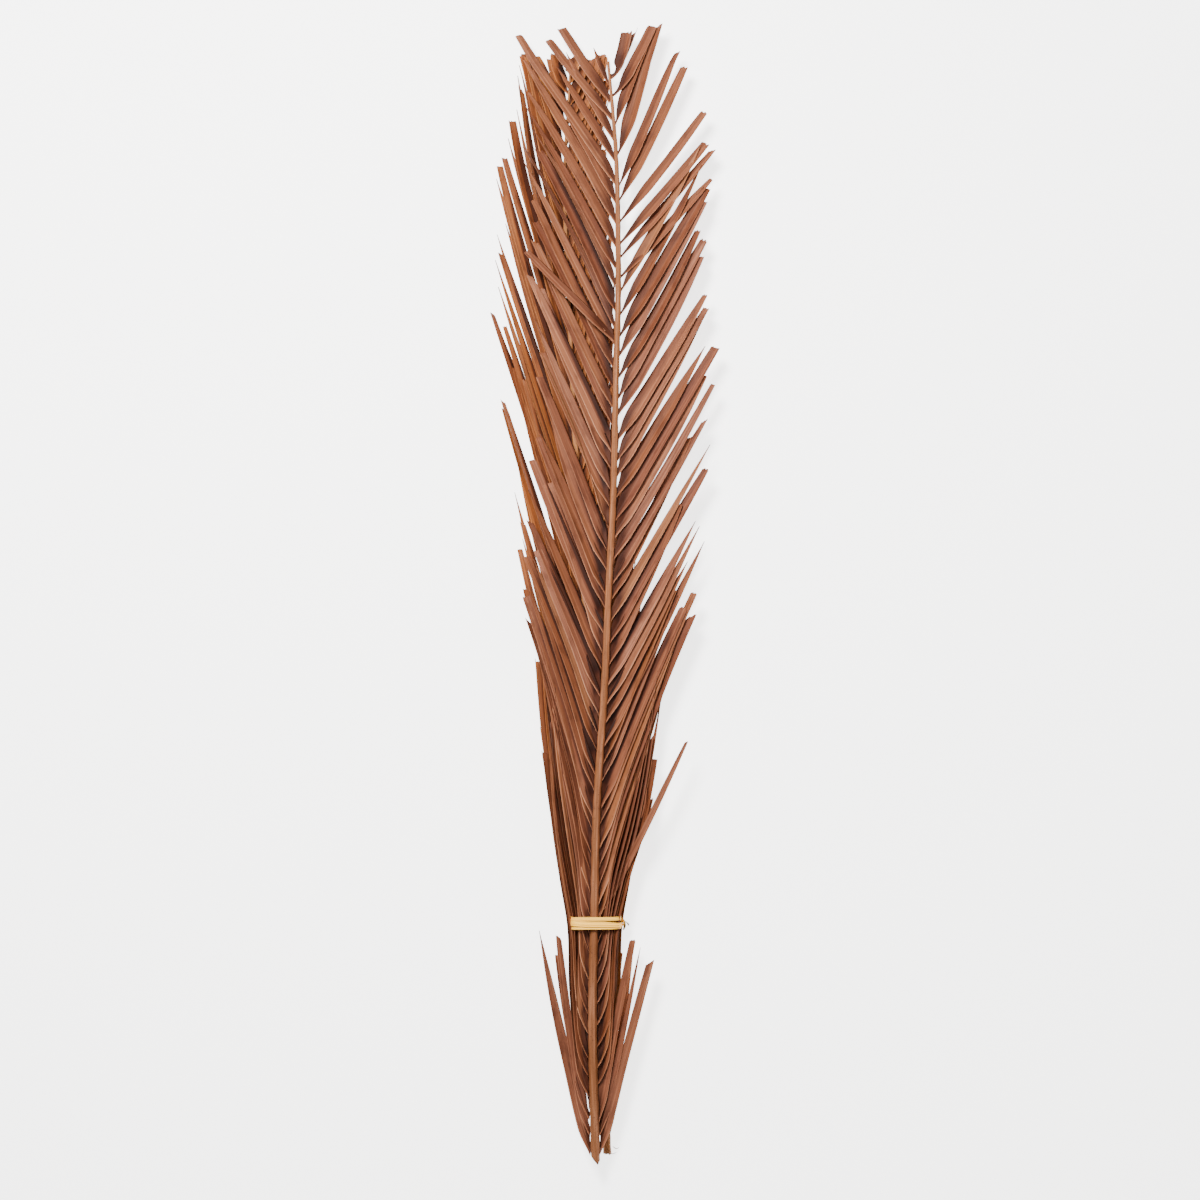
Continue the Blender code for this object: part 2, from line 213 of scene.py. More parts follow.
def mesh_of(name: str, surfaces: Sequence[Surface]) -> bpy.types.Mesh:
    """One mesh of several closed surfaces, with their attributes and smooth faces.

    Args:
        name: the mesh's name.
        surfaces: the grids to join. They all carry the same attributes.

    Returns:
        The mesh, its faces outward.
    """
    quads, caps, first = [], [], 0
    for surface in surfaces:
        sides, ends = surface.faces(first)
        quads.append(sides)
        caps.extend(ends)
        first += surface.points.shape[0] * surface.points.shape[1]
    quad_rows = np.concatenate(quads)
    loops = np.concatenate([quad_rows.reshape(-1), *caps]).astype(np.int32)
    totals = np.concatenate([np.full(len(quad_rows), 4), [len(cap) for cap in caps]])
    starts = np.concatenate([[0], np.cumsum(totals)[:-1]])
    mesh = bpy.data.meshes.new(name)
    mesh.vertices.add(first)
    points = np.concatenate([surface.points.reshape(-1, 3) for surface in surfaces])
    mesh.vertices.foreach_set("co", points.astype(np.float32).reshape(-1))
    mesh.loops.add(len(loops))
    mesh.loops.foreach_set("vertex_index", loops)
    mesh.polygons.add(len(totals))
    mesh.polygons.foreach_set("loop_start", starts.astype(np.int32))
    mesh.polygons.foreach_set("use_smooth", np.arange(len(totals)) < len(quad_rows))
    for key in surfaces[0].data:
        values = np.concatenate([s.data[key].reshape(-1, s.data[key].shape[-1]) for s in surfaces])
        kind = "FLOAT_VECTOR" if values.shape[1] == 3 else "FLOAT_COLOR"
        layer = mesh.attributes.new(key, kind, "POINT")
        layer.data.foreach_set("vector" if kind == "FLOAT_VECTOR" else "color",
                               values.astype(np.float32).reshape(-1))
    mesh.update(calc_edges=True)
    mesh.validate()
    return mesh


def add_piece(name: str, surfaces: Sequence[Surface], material: bpy.types.Material,
              nodes: Sequence[str] = ()) -> bpy.types.Object:
    """Adds one finished piece to the scene and ties it to the frame.

    Args:
        name: the piece's name.
        surfaces: its closed surfaces.
        material: its material.
        nodes: the CAD nodes it stands for.

    Returns:
        The new object.
    """
    mesh = mesh_of(name, surfaces)
    mesh.materials.append(material)
    piece = bpy.data.objects.new(name, mesh)
    bpy.context.scene.collection.objects.link(piece)
    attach(piece, BODY)
    if nodes:
        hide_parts(*nodes)
    LOG.info("%s: %d faces", name, len(mesh.polygons))
    return piece


# --------------------------------------------------------------------------------------- shading


class Value:
    """A shader socket, so that node arithmetic is written as Python expressions."""

    def __init__(self, graph: "Graph", socket: bpy.types.NodeSocket) -> None:
        self.graph = graph
        self.socket = socket

    def _math(self, operation: str, *others: "Number", clamp: bool = False) -> "Value":
        """One Math node of this value and others."""
        node = self.graph.make("ShaderNodeMath", operation=operation, use_clamp=clamp)
        for socket, value in zip(node.inputs, (self, *others)):
            self.graph.feed(socket, value)
        return Value(self.graph, node.outputs[0])

    def __add__(self, other: "Number") -> "Value":
        return self._math("ADD", other)

    def __sub__(self, other: "Number") -> "Value":
        return self._math("SUBTRACT", other)

    def __mul__(self, other: "Number") -> "Value":
        return self._math("MULTIPLY", other)

    def __neg__(self) -> "Value":
        return self._math("MULTIPLY", -1.0)

    def __abs__(self) -> "Value":
        return self._math("ABSOLUTE")

    def __radd__(self, other: float) -> "Value":
        return self + other

    def __rmul__(self, other: float) -> "Value":
        return self * other

    def __rsub__(self, other: float) -> "Value":
        return -self + other

    def clamped(self) -> "Value":
        """This value held between 0 and 1."""
        return self._math("ADD", 0.0, clamp=True)

    def step(self, low: float, high: float) -> "Value":
        """0 below low, 1 above high, smooth between; the other way round if low is over high."""
        node = self.graph.make("ShaderNodeMapRange", interpolation_type="SMOOTHSTEP")
        for socket, value in zip(node.inputs, (self, low, high, 0.0, 1.0)):
            self.graph.feed(socket, value)
        return Value(self.graph, node.outputs["Result"])


Number = Union[Value, float]


class Graph:
    """The node tree of one material, with short methods for the nodes this scene uses."""

    def __init__(self, name: str) -> None:
        self.material = bpy.data.materials.new(name)
        self.material.use_nodes = True
        self.tree = self.material.node_tree
        self.shader = self.tree.nodes["Principled BSDF"]

    def make(self, kind: str, **settings: object) -> bpy.types.Node:
        """A new node of this kind with these properties set."""
        node = self.tree.nodes.new(kind)
        for key, value in settings.items():
            setattr(node, key, value)
        return node

    def feed(self, socket: bpy.types.NodeSocket, value: object) -> None:
        """Links a Value into the socket, or sets the socket to a plain number, vector or colour."""
        if isinstance(value, Value):
            self.tree.links.new(value.socket, socket)
        elif isinstance(value, tuple) and socket.type == "RGBA":
            socket.default_value = (*value[:3], 1.0)
        else:
            socket.default_value = value

    def attribute(self, name: str) -> tuple[Value, Value, Value, Value]:
        """The X, Y and Z of a point attribute, and its fourth component."""
        source = self.make("ShaderNodeAttribute", attribute_name=name)
        split = self.make("ShaderNodeSeparateXYZ")
        self.tree.links.new(source.outputs["Vector"], split.inputs[0])
        x, y, z = (Value(self, output) for output in split.outputs)
        return x, y, z, Value(self, source.outputs["Alpha"])

    def vector(self, x: Number, y: Number, z: Number) -> Value:
        """A vector of three numbers."""
        node = self.make("ShaderNodeCombineXYZ")
        for socket, value in zip(node.inputs, (x, y, z)):
            self.feed(socket, value)
        return Value(self, node.outputs[0])

    def noise(self, at: Value, detail: float = 2.0, rough: float = 0.5) -> Value:
        """Smooth noise from 0 to 1 at this vector."""
        node = self.make("ShaderNodeTexNoise", noise_dimensions="3D")
        for key, value in (("Vector", at), ("Scale", 1.0), ("Detail", detail), ("Roughness", rough)):
            self.feed(node.inputs[key], value)
        return Value(self, node.outputs[0])

    def mix(self, factor: Number, low: object, high: object, blend: str = "MIX") -> Value:
        """A colour between low and high, or another blend of the two."""
        node = self.make("ShaderNodeMix", data_type="RGBA", blend_type=blend, clamp_factor=True)
        for socket, value in ((node.inputs[0], factor), (node.inputs[6], low), (node.inputs[7], high)):
            self.feed(socket, value)
        return Value(self, node.outputs[2])

    def bump(self, height: Value, depth: float) -> Value:
        """A normal from this height, whose whole range is depth metres."""
        node = self.make("ShaderNodeBump")
        node.inputs["Strength"].default_value = 1.0
        node.inputs["Distance"].default_value = depth
        self.feed(node.inputs["Height"], height)
        return Value(self, node.outputs[0])

    def finish(self, colour: Value, roughness: Number, normal: Value, specular: float) -> bpy.types.Material:
        """Feeds the shader and returns the material."""
        self.feed(self.shader.inputs["Base Color"], colour)
        self.feed(self.shader.inputs["Roughness"], roughness)
        self.feed(self.shader.inputs["Normal"], normal)
        self.shader.inputs["Specular IOR Level"].default_value = specular
        return self.material


@dataclass(frozen=True)
class LeafFinish:
    """Dry leaf blade: streaked, dark at the tip; pale edges partly painted highlight; painted shade on one
    half, inner edge and foot.
    """

    name: str
    cool: Colour
    warm: Colour
    dark: Colour
    pale: Colour
    roughness: float = 0.62

    def material(self) -> bpy.types.Material:
        """Builds the material.

        It reads the attribute "blade" (metres across the blade from its fold, metres from its foot,
        and place across from -1 to 1) and "tint" (warmth, brightness, seed, and share of its length).
        """
        graph = Graph(self.name)
        across, along, place, _ = graph.attribute("blade")
        warmth, light, seed, share = graph.attribute("tint")
        vein = graph.noise(graph.vector(across * 2400, along * 22, seed * 31), detail=3.0)
        streak = graph.noise(graph.vector(across * 520, along * 9, seed * 17), detail=2.0)
        blotch = graph.noise(graph.vector(across * 90, along * 34, seed * 23), detail=4.0, rough=0.6)
        fibre = graph.noise(graph.vector(across * 5200, along * 60, seed * 11), detail=1.0)
        speck = graph.noise(graph.vector(across * 900, along * 520, seed * 7), detail=1.0)
        base = graph.mix((warmth + 0.7 * (blotch - 0.5)).clamped(), self.cool, self.warm)
        base = graph.mix(0.50 * streak.step(0.50, 0.76), base, self.pale)
        base = graph.mix(0.60 * vein.step(0.54, 0.24), base, self.dark)
        base = graph.mix(0.45 * blotch.step(0.50, 0.30), base, self.dark)
        # Painted shade: the half of the blade on one side of the fold is darkened, as if turned from the
        # light.
        base = graph.mix(0.30 * across.step(0.0003, -0.0004), base, self.dark)
        # Pale edges, partly the dry margin's own paler colour and partly painted highlight, and a faint pale
        # fold line.
        rim = abs(place).step(0.86, 0.97)
        fold = abs(across).step(0.0009, 0.0002)
        base = graph.mix((0.42 * rim + 0.08 * fold) * share.step(0.98, 0.80), base, self.pale)
        # Painted shadow along the inner edge, where the next leaflet up lies over it.
        base = graph.mix(0.50 * place.step(-0.80, -1.0), base, self.dark)
        base = graph.mix(0.75 * speck.step(0.735, 0.78), base, self.dark)
        lip = place.step(0.84, 0.94)
        # Painted shade in the recess at the foot next to the rachis, and on the inner half low on the blade.
        painted_hollow_shade = (along.step(0.034, 0.006) * place.step(0.66, 0.20)
                  + 0.45 * along.step(0.10, 0.02) * place.step(0.10, -0.40)).clamped()
        base = graph.mix(0.92 * painted_hollow_shade, base, self.dark)
        # Pale raised outer edge near the foot (lip): partly the margin's own paler colour, partly painted
        # highlight.
        base = graph.mix(0.95 * along.step(0.075, 0.015) * lip, base, self.pale)
        burnt = share.step(0.955, 1.0) * 0.65 + abs(place).step(0.6, 1.0) * share.step(0.80, 0.97) * 0.4
        base = graph.mix(burnt, base, self.dark)
        tone = graph.vector(light, light * (0.40 * light + 0.60), light * (0.65 * light + 0.35))
        colour = graph.mix(1.0, base, tone, "MULTIPLY")
        height = 0.55 * vein + 0.25 * fibre + 0.2 * streak
        return graph.finish(colour, self.roughness + 0.18 * (vein - 0.5), graph.bump(height, 0.00016),
                            specular=0.12)


@dataclass(frozen=True)
class StemFinish:
    """Dry rachis skin: long grooves, pale streaks and small dark specks."""

    name: str
    skin: Colour
    dark: Colour
    pale: Colour
    core: Colour

    def material(self) -> bpy.types.Material:
        """Builds the material.

        It reads "stem" (metres round the skin, metres from the cut, share of the length) and
        "tint" (warmth, brightness, how far inside the cut end).
        """
        graph = Graph(self.name)
        around, along, _, _ = graph.attribute("stem")
        _, light, inside, _ = graph.attribute("tint")
        groove = graph.noise(graph.vector(around * 1500, along * 7, 0.0), detail=3.0)
        streak = graph.noise(graph.vector(around * 520, along * 16, 3.0), detail=3.0)
        mottle = graph.noise(graph.vector(around * 140, along * 60, 5.0), detail=4.0, rough=0.65)
        speck = graph.noise(graph.vector(around * 850, along * 620, 9.0), detail=1.0)
        base = graph.mix(0.8 * streak.step(0.42, 0.72), self.skin, self.pale)
        base = graph.mix(0.65 * groove.step(0.47, 0.24), base, self.dark)
        base = graph.mix(0.45 * mottle.step(0.46, 0.26), base, self.dark)
        base = graph.mix(0.88 * speck.step(0.67, 0.71), base, self.dark)
        base = graph.mix(inside, base, graph.mix(groove.step(0.35, 0.65), self.dark, self.core))
        colour = graph.mix(1.0, base, graph.vector(light, light, light), "MULTIPLY")
        height = 0.7 * groove + 0.3 * mottle
        return graph.finish(colour, 0.55 + 0.2 * groove, graph.bump(height, 0.00030), specular=0.15)


@dataclass(frozen=True)
class RaffiaFinish:
    """Pale dried raffia: silky, with fine fibres along it and darker creases."""

    name: str
    pale: Colour
    tan: Colour
    dark: Colour

    def material(self) -> bpy.types.Material:
        """Builds the material, which reads "blade" and "tint" as a leaf does."""
        graph = Graph(self.name)
        across, along, place, _ = graph.attribute("blade")
        warmth, light, seed, share = graph.attribute("tint")
        fibre = graph.noise(graph.vector(across * 5200, along * 26, seed * 13), detail=3.0)
        streak = graph.noise(graph.vector(across * 1400, along * 40, seed * 19), detail=2.0)
        base = graph.mix((warmth + 0.8 * (streak - 0.5)).clamped(), self.pale, self.tan)
        base = graph.mix(0.55 * fibre.step(0.46, 0.22), base, self.dark)
        base = graph.mix(0.40 * abs(place).step(0.8, 1.0), base, self.dark)
        base = graph.mix(0.5 * share.step(0.9, 1.0), base, self.dark)
        colour = graph.mix(1.0, base, graph.vector(light, light, light), "MULTIPLY")
        height = 0.6 * fibre + 0.4 * streak
        return graph.finish(colour, 0.46 + 0.25 * fibre, graph.bump(height, 0.00018), specular=0.25)


# --------------------------------------------------------------------------------------- fronds


@dataclass(frozen=True)
class FrondRule:
    """Where one frond runs and how far its leaflets spread, before the bunch is centred.

    Attributes:
        reach: how far up the bunch the leaflet of each foot reaches.
        fan: how far out its tip stands, for a tip at each height, on each side.
        bundle: the same for the bound leaflets of the lower part, at each height along them.
        rise: how far a leaflet tip stands above its rachis; None lays it on the floor.
        free_angle: degrees by which the lowest leaflets, which miss the tie, lean out.
        trimmed_y: no leaflet reaches above this.
    """

    name: str
    base_y: float
    tip_y: float
    centre_x: SmoothCurve
    centre_z: SmoothCurve
    radius: SmoothCurve
    reach: SmoothCurve
    fan: dict[Side, SmoothCurve]
    bundle: dict[Side, SmoothCurve]
    rise: Optional[float]
    free_angle: dict[Side, float]
    width: float
    trimmed_y: float
    seed: int

    def foot_z(self, y: Union[float, Array]) -> Array:
        """The height at which leaflets spring from the rachis, a little below its centre."""
        return self.centre_z(y) - FOOT_DROP * self.radius(y)

    def bound(self, foot: Union[float, Array]) -> Array:
        """How much the tie holds the leaflet of this foot in: 0 high above the tie, 1 below it."""
        return smooth_step(np.asarray(foot), FANNED_ABOVE_Y, BOUND_BELOW_Y)

    def out(self, side: Side, foot: Array, height: Array) -> Array:
        """How far beyond the rachis a leaflet is, at these heights above its foot.

        A fanned leaflet runs straight to its place in the fan. A bound one follows the bundle's
        outline, as the share of it that matches how much of its own length is below that height. One
        that goes through the tie fills the bundle soon after its foot, the lowest one outermost. One
        that misses the tie leans out at its own angle.

        Args:
            side: the side of the frond.
            foot: the heights of the feet.
            height: heights above them.

        Returns:
            The distances, in metres.
        """
        reach, bound = self.reach(foot), self.bound(foot)
        top = np.clip(0.30 + 0.70 * (self.tip_y - foot) / TOP_STRETCH, 0, 1)
        spread = bound * self.bundle[side](foot + height) + (1 - bound) * self.fan[side](foot + reach)
        gripped = smooth_step(foot, LOOSE_ABOVE_Y, GRIPPED_BELOW_Y)
        rank = 0.62 + 0.38 * smooth_step(foot, TIE_Y, -0.50)
        hook, rest = 1 - np.exp(-height / HOOK_LENGTH), 1 - np.exp(-((height / REST_LENGTH) ** 1.3))
        filled = rank * (HOOK_SHARE * hook + (1 - HOOK_SHARE) * rest)
        loose = (height / reach) ** (1.0 - 0.10 * bound)
        held = top * spread * (gripped * filled + (1 - gripped) * loose)
        rank = np.clip((FREE_BELOW_Y[side] - foot) / 0.02, 0, 1)
        free = height * np.tan(np.radians(self.free_angle[side] - 3.5 * (1 - rank)))
        return np.where(foot < FREE_BELOW_Y[side], free, held)


FRONT = FrondRule(
    name="front",
    base_y=-0.569,
    tip_y=0.534,
    centre_x=SmoothCurve(((-0.57, -0.0112), (-0.54, -0.0122), (-0.25, -0.0110), (-0.02, 0.0012),
                          (0.19, 0.0090), (0.34, 0.0113), (0.43, 0.0102), (0.534, 0.0010))),
    centre_z=SmoothCurve(((-0.57, 0.0262), (-0.30, 0.0270), (0.10, 0.0235), (0.534, 0.0195))),
    radius=SmoothCurve(((-0.57, 0.0046), (-0.38, 0.0043), (-0.12, 0.0037), (0.10, 0.0033),
                        (0.30, 0.0029), (0.43, 0.0022), (0.534, 0.0013))),
    reach=SmoothCurve(((-0.56, 0.170), (-0.52, 0.270), (-0.46, 0.300), (-0.40, 0.285), (-0.28, 0.240),
                       (-0.20, 0.205), (-0.12, 0.175), (0.10, 0.155), (0.30, 0.145), (0.44, 0.100),
                       (0.525, 0.045))),
    fan={
        Side.RIGHT: SmoothCurve(((-0.05, 0.076), (0.03, 0.080), (0.20, 0.084), (0.30, 0.088), (0.42, 0.091),
                                 (0.50, 0.084), (0.56, 0.056))),
        Side.LEFT: SmoothCurve(((-0.05, 0.074), (0.05, 0.080), (0.16, 0.078), (0.26, 0.075),
                                (0.36, 0.073), (0.50, 0.074), (0.56, 0.066))),
    },
    bundle={
        Side.RIGHT: SmoothCurve(((-0.55, 0.012), (-0.50, 0.021), (-0.40, 0.022), (TIE_Y, 0.0215),
                                 (-0.29, 0.029), (-0.234, 0.044), (-0.16, 0.057), (-0.08, 0.066),
                                 (0.02, 0.079))),
        Side.LEFT: SmoothCurve(((-0.55, 0.012), (-0.50, 0.018), (-0.40, 0.020), (TIE_Y, 0.0200),
                                (-0.29, 0.027), (-0.234, 0.038), (-0.16, 0.052), (-0.08, 0.064),
                                (0.02, 0.078))),
    },
    rise=0.007,
    free_angle={Side.LEFT: 15.5, Side.RIGHT: 15.5},
    width=0.0146,
    trimmed_y=0.5675,
    seed=11,
)
BACK = FrondRule(
    name="back",
    base_y=-0.562,
    tip_y=0.525,
    centre_x=SmoothCurve(((-0.565, 0.0003), (-0.45, -0.0052), (TIE_Y, -0.0080), (-0.044, -0.0200),
                          (0.186, -0.0330), (0.346, -0.0405), (0.43, -0.0420), (0.525, -0.0370))),
    centre_z=SmoothCurve(((-0.565, 0.0045), (-0.47, 0.0085), (TIE_Y, 0.0088), (0.10, 0.0080),
                          (0.525, 0.0070))),
    radius=SmoothCurve(((-0.565, 0.0041), (-0.38, 0.0038), (-0.12, 0.0034), (0.10, 0.0029),
                        (0.30, 0.0022), (0.43, 0.0016), (0.525, 0.0010))),
    reach=SmoothCurve(((-0.56, 0.170), (-0.52, 0.290), (-0.30, 0.285), (0.10, 0.245), (0.30, 0.225),
                       (0.42, 0.140), (0.515, 0.045))),
    fan={
        Side.RIGHT: SmoothCurve(((-0.10, 0.052), (0.10, 0.046), (0.40, 0.040), (0.56, 0.034))),
        Side.LEFT: SmoothCurve(((-0.10, 0.054), (0.05, 0.060), (0.20, 0.066), (0.40, 0.064),
                                (0.56, 0.046))),
    },
    bundle={
        Side.RIGHT: SmoothCurve(((-0.55, 0.006), (-0.50, 0.012), (-0.40, 0.017), (TIE_Y, 0.0185),
                                 (-0.29, 0.026), (-0.234, 0.036), (-0.16, 0.046), (0.0, 0.052))),
        Side.LEFT: SmoothCurve(((-0.55, 0.014), (-0.50, 0.022), (-0.40, 0.024), (TIE_Y, 0.0235),
                                (-0.29, 0.029), (-0.234, 0.038), (-0.16, 0.047), (0.0, 0.056))),
    },
    rise=None,
    free_angle={Side.LEFT: 7.0, Side.RIGHT: 9.5},
    width=0.0130,
    trimmed_y=0.5435,
    seed=12,
)


@dataclass(frozen=True)
class Leaflet:
    """One leaflet's own measures, as its small differences from the frond's rule.

    Attributes:
        foot: height of its foot along the bunch.
        reach: how far up the bunch it reaches.
        spread: its share of the frond's usual spread.
        width: its full width.
        tilt: added lean of the blade, in radians; positive lifts the outer edge.
        twist: further lean gained towards the tip.
        fold: depth of its V as a share of the width.
        bend: sideways bow, in metres at mid-length.
        lift: height above its neighbours.
        kept: the share of its natural length that was left when it was trimmed.
        warmth: colour between cool and warm.
        light: brightness.
        seed: shifts its veins.
        tip_out: how far its tip stands from the rachis, if that isn't left to the frond's rule.
        sweep: with tip_out, the power of its course: under 1 it bends up the bunch, over 1 away.
        risen: the share of its length at which it reaches its lift.
    """

    foot: float
    reach: float
    spread: float = 1.0
    width: float = 0.0132
    tilt: float = 0.0
    twist: float = 0.0
    fold: float = 0.20
    bend: float = 0.0
    lift: float = 0.0
    tip: Tip = Tip.POINTED
    kept: float = 1.0
    warmth: float = 0.5
    light: float = 1.0
    seed: float = 0.0
    tip_out: Optional[float] = None
    sweep: float = 1.0
    risen: float = 0.3


TOPMOST: dict[Side, tuple[Leaflet, ...]] = {
    Side.RIGHT: (
        Leaflet(0.318, 0.097, tip_out=0.091, width=0.0134, fold=0.30, tip=Tip.CUT, kept=0.86,
                light=0.88, seed=1.1),
        Leaflet(0.338, 0.106, tip_out=0.094, width=0.0123, fold=0.34, tip=Tip.SLANTED, kept=0.80,
                light=0.81, lift=-0.0008, seed=1.2),
        Leaflet(0.352, 0.098, tip_out=0.087, width=0.0139, fold=0.24, tip=Tip.CUT, kept=0.66,
                light=0.88, seed=1.3),
        Leaflet(0.374, 0.108, tip_out=0.089, width=0.0134, fold=0.20, tip=Tip.CUT, kept=0.72,
                light=0.92, seed=1.4),
        Leaflet(0.396, 0.131, tip_out=0.074, width=0.0145, fold=0.26, tip=Tip.CUT, kept=0.74,
                warmth=0.65, light=0.88, seed=1.5),
        Leaflet(0.411, 0.131, tip_out=0.0675, width=0.0134, fold=0.30, tip=Tip.SLANTED, kept=0.84,
                light=0.77, lift=-0.0012, seed=1.6),
        Leaflet(0.442, 0.1265, tip_out=0.0485, width=0.0181, fold=0.42, sweep=0.90, tip=Tip.SLANTED,
                kept=0.78, light=0.84, lift=0.0010, seed=1.7),
        Leaflet(0.471, 0.086, tip_out=0.0400, width=0.0141, fold=0.40, sweep=1.05, tip=Tip.CUT,
                kept=0.80, light=0.76, seed=1.8),
        Leaflet(0.500, 0.0675, tip_out=0.0430, width=0.0141, fold=0.25, sweep=0.74, tip=Tip.CUT,
                kept=0.55, light=0.84, seed=1.9),
        Leaflet(0.5175, 0.0460, tip_out=0.0260, width=0.0141, fold=0.70, sweep=0.66, tilt=0.3, twist=0.2,
                tip=Tip.SLANTED, kept=0.58, light=0.92, seed=2.0),
        Leaflet(0.5195, 0.0430, tip_out=0.0185, width=0.0154, fold=0.80, sweep=0.42, tilt=0.2, twist=-0.3,
                tip=Tip.CUT, kept=0.56, light=0.75, lift=-0.0016, seed=2.1),
    ),
    Side.LEFT: (
        Leaflet(0.352, 0.150, tip_out=0.080, width=0.0140, fold=0.28, kept=0.92, light=1.03, seed=2.2),
        Leaflet(0.375, 0.159, tip_out=0.081, width=0.0140, fold=0.26, tip=Tip.SLANTED, kept=0.92,
                light=1.12, seed=2.3),
        Leaflet(0.395, 0.125, tip_out=0.062, width=0.0130, fold=0.22, light=0.96, lift=-0.0010, seed=2.4),
        Leaflet(0.414, 0.144, tip_out=0.087, width=0.0140, fold=0.30, tip=Tip.CUT, kept=0.72,
                light=1.10, lift=0.0012, seed=2.5),
        Leaflet(0.437, 0.092, tip_out=0.050, width=0.0125, fold=0.24, light=0.95, lift=-0.0012, seed=2.6),
        Leaflet(0.458, 0.085, tip_out=0.040, width=0.0123, fold=0.30, light=1.01, lift=-0.0008, seed=2.7),
        Leaflet(0.478, 0.076, tip_out=0.0575, width=0.0123, fold=0.22, tip=Tip.CUT, kept=0.62,
                light=1.12, lift=0.0010, seed=2.8),
        Leaflet(0.4955, 0.0705, tip_out=0.0450, width=0.0140, fold=0.45, tip=Tip.CUT, kept=0.60,
                light=1.05, seed=2.9),
        Leaflet(0.512, 0.036, tip_out=0.0130, width=0.0075, fold=0.40, light=0.90, lift=-0.0016, seed=3.0),
    ),
}


LOWEST: dict[Side, tuple[Leaflet, ...]] = {
    Side.RIGHT: (
        Leaflet(-0.555, 0.188, tip_out=0.0527, sweep=0.92, width=0.0130, fold=0.30, tilt=-0.35,
                tip=Tip.SLANTED, kept=0.66, warmth=0.3, light=1.06, lift=0.0012, seed=3.2),
        Leaflet(-0.538, 0.186, tip_out=0.0428, sweep=0.80, width=0.0090, fold=0.40, tilt=-0.35,
                warmth=0.2, light=0.86, lift=-0.0010, seed=3.3),
        Leaflet(-0.524, 0.179, tip_out=0.0352, sweep=0.98, width=0.0120, fold=0.30, tilt=-0.30,
                tip=Tip.CUT, kept=0.68, warmth=0.3, light=0.95, seed=3.4),
    ),
    Side.LEFT: (
        Leaflet(-0.555, 0.220, tip_out=0.0500, sweep=0.92, width=0.0150, fold=0.30, tilt=-0.35,
                warmth=0.2, light=0.98, lift=0.0012, seed=3.5),
        Leaflet(-0.536, 0.194, tip_out=0.0308, sweep=0.72, width=0.0118, fold=0.30, tilt=-0.35,
                tip=Tip.SLANTED, kept=0.74, warmth=0.1, light=0.92, lift=-0.0006, seed=3.6),
        Leaflet(-0.521, 0.161, tip_out=0.0320, sweep=0.74, width=0.0105, fold=0.35, tilt=-0.30,
                tip=Tip.CUT, kept=0.72, warmth=0.2, light=0.88, lift=-0.0012, seed=3.7),
    ),
}


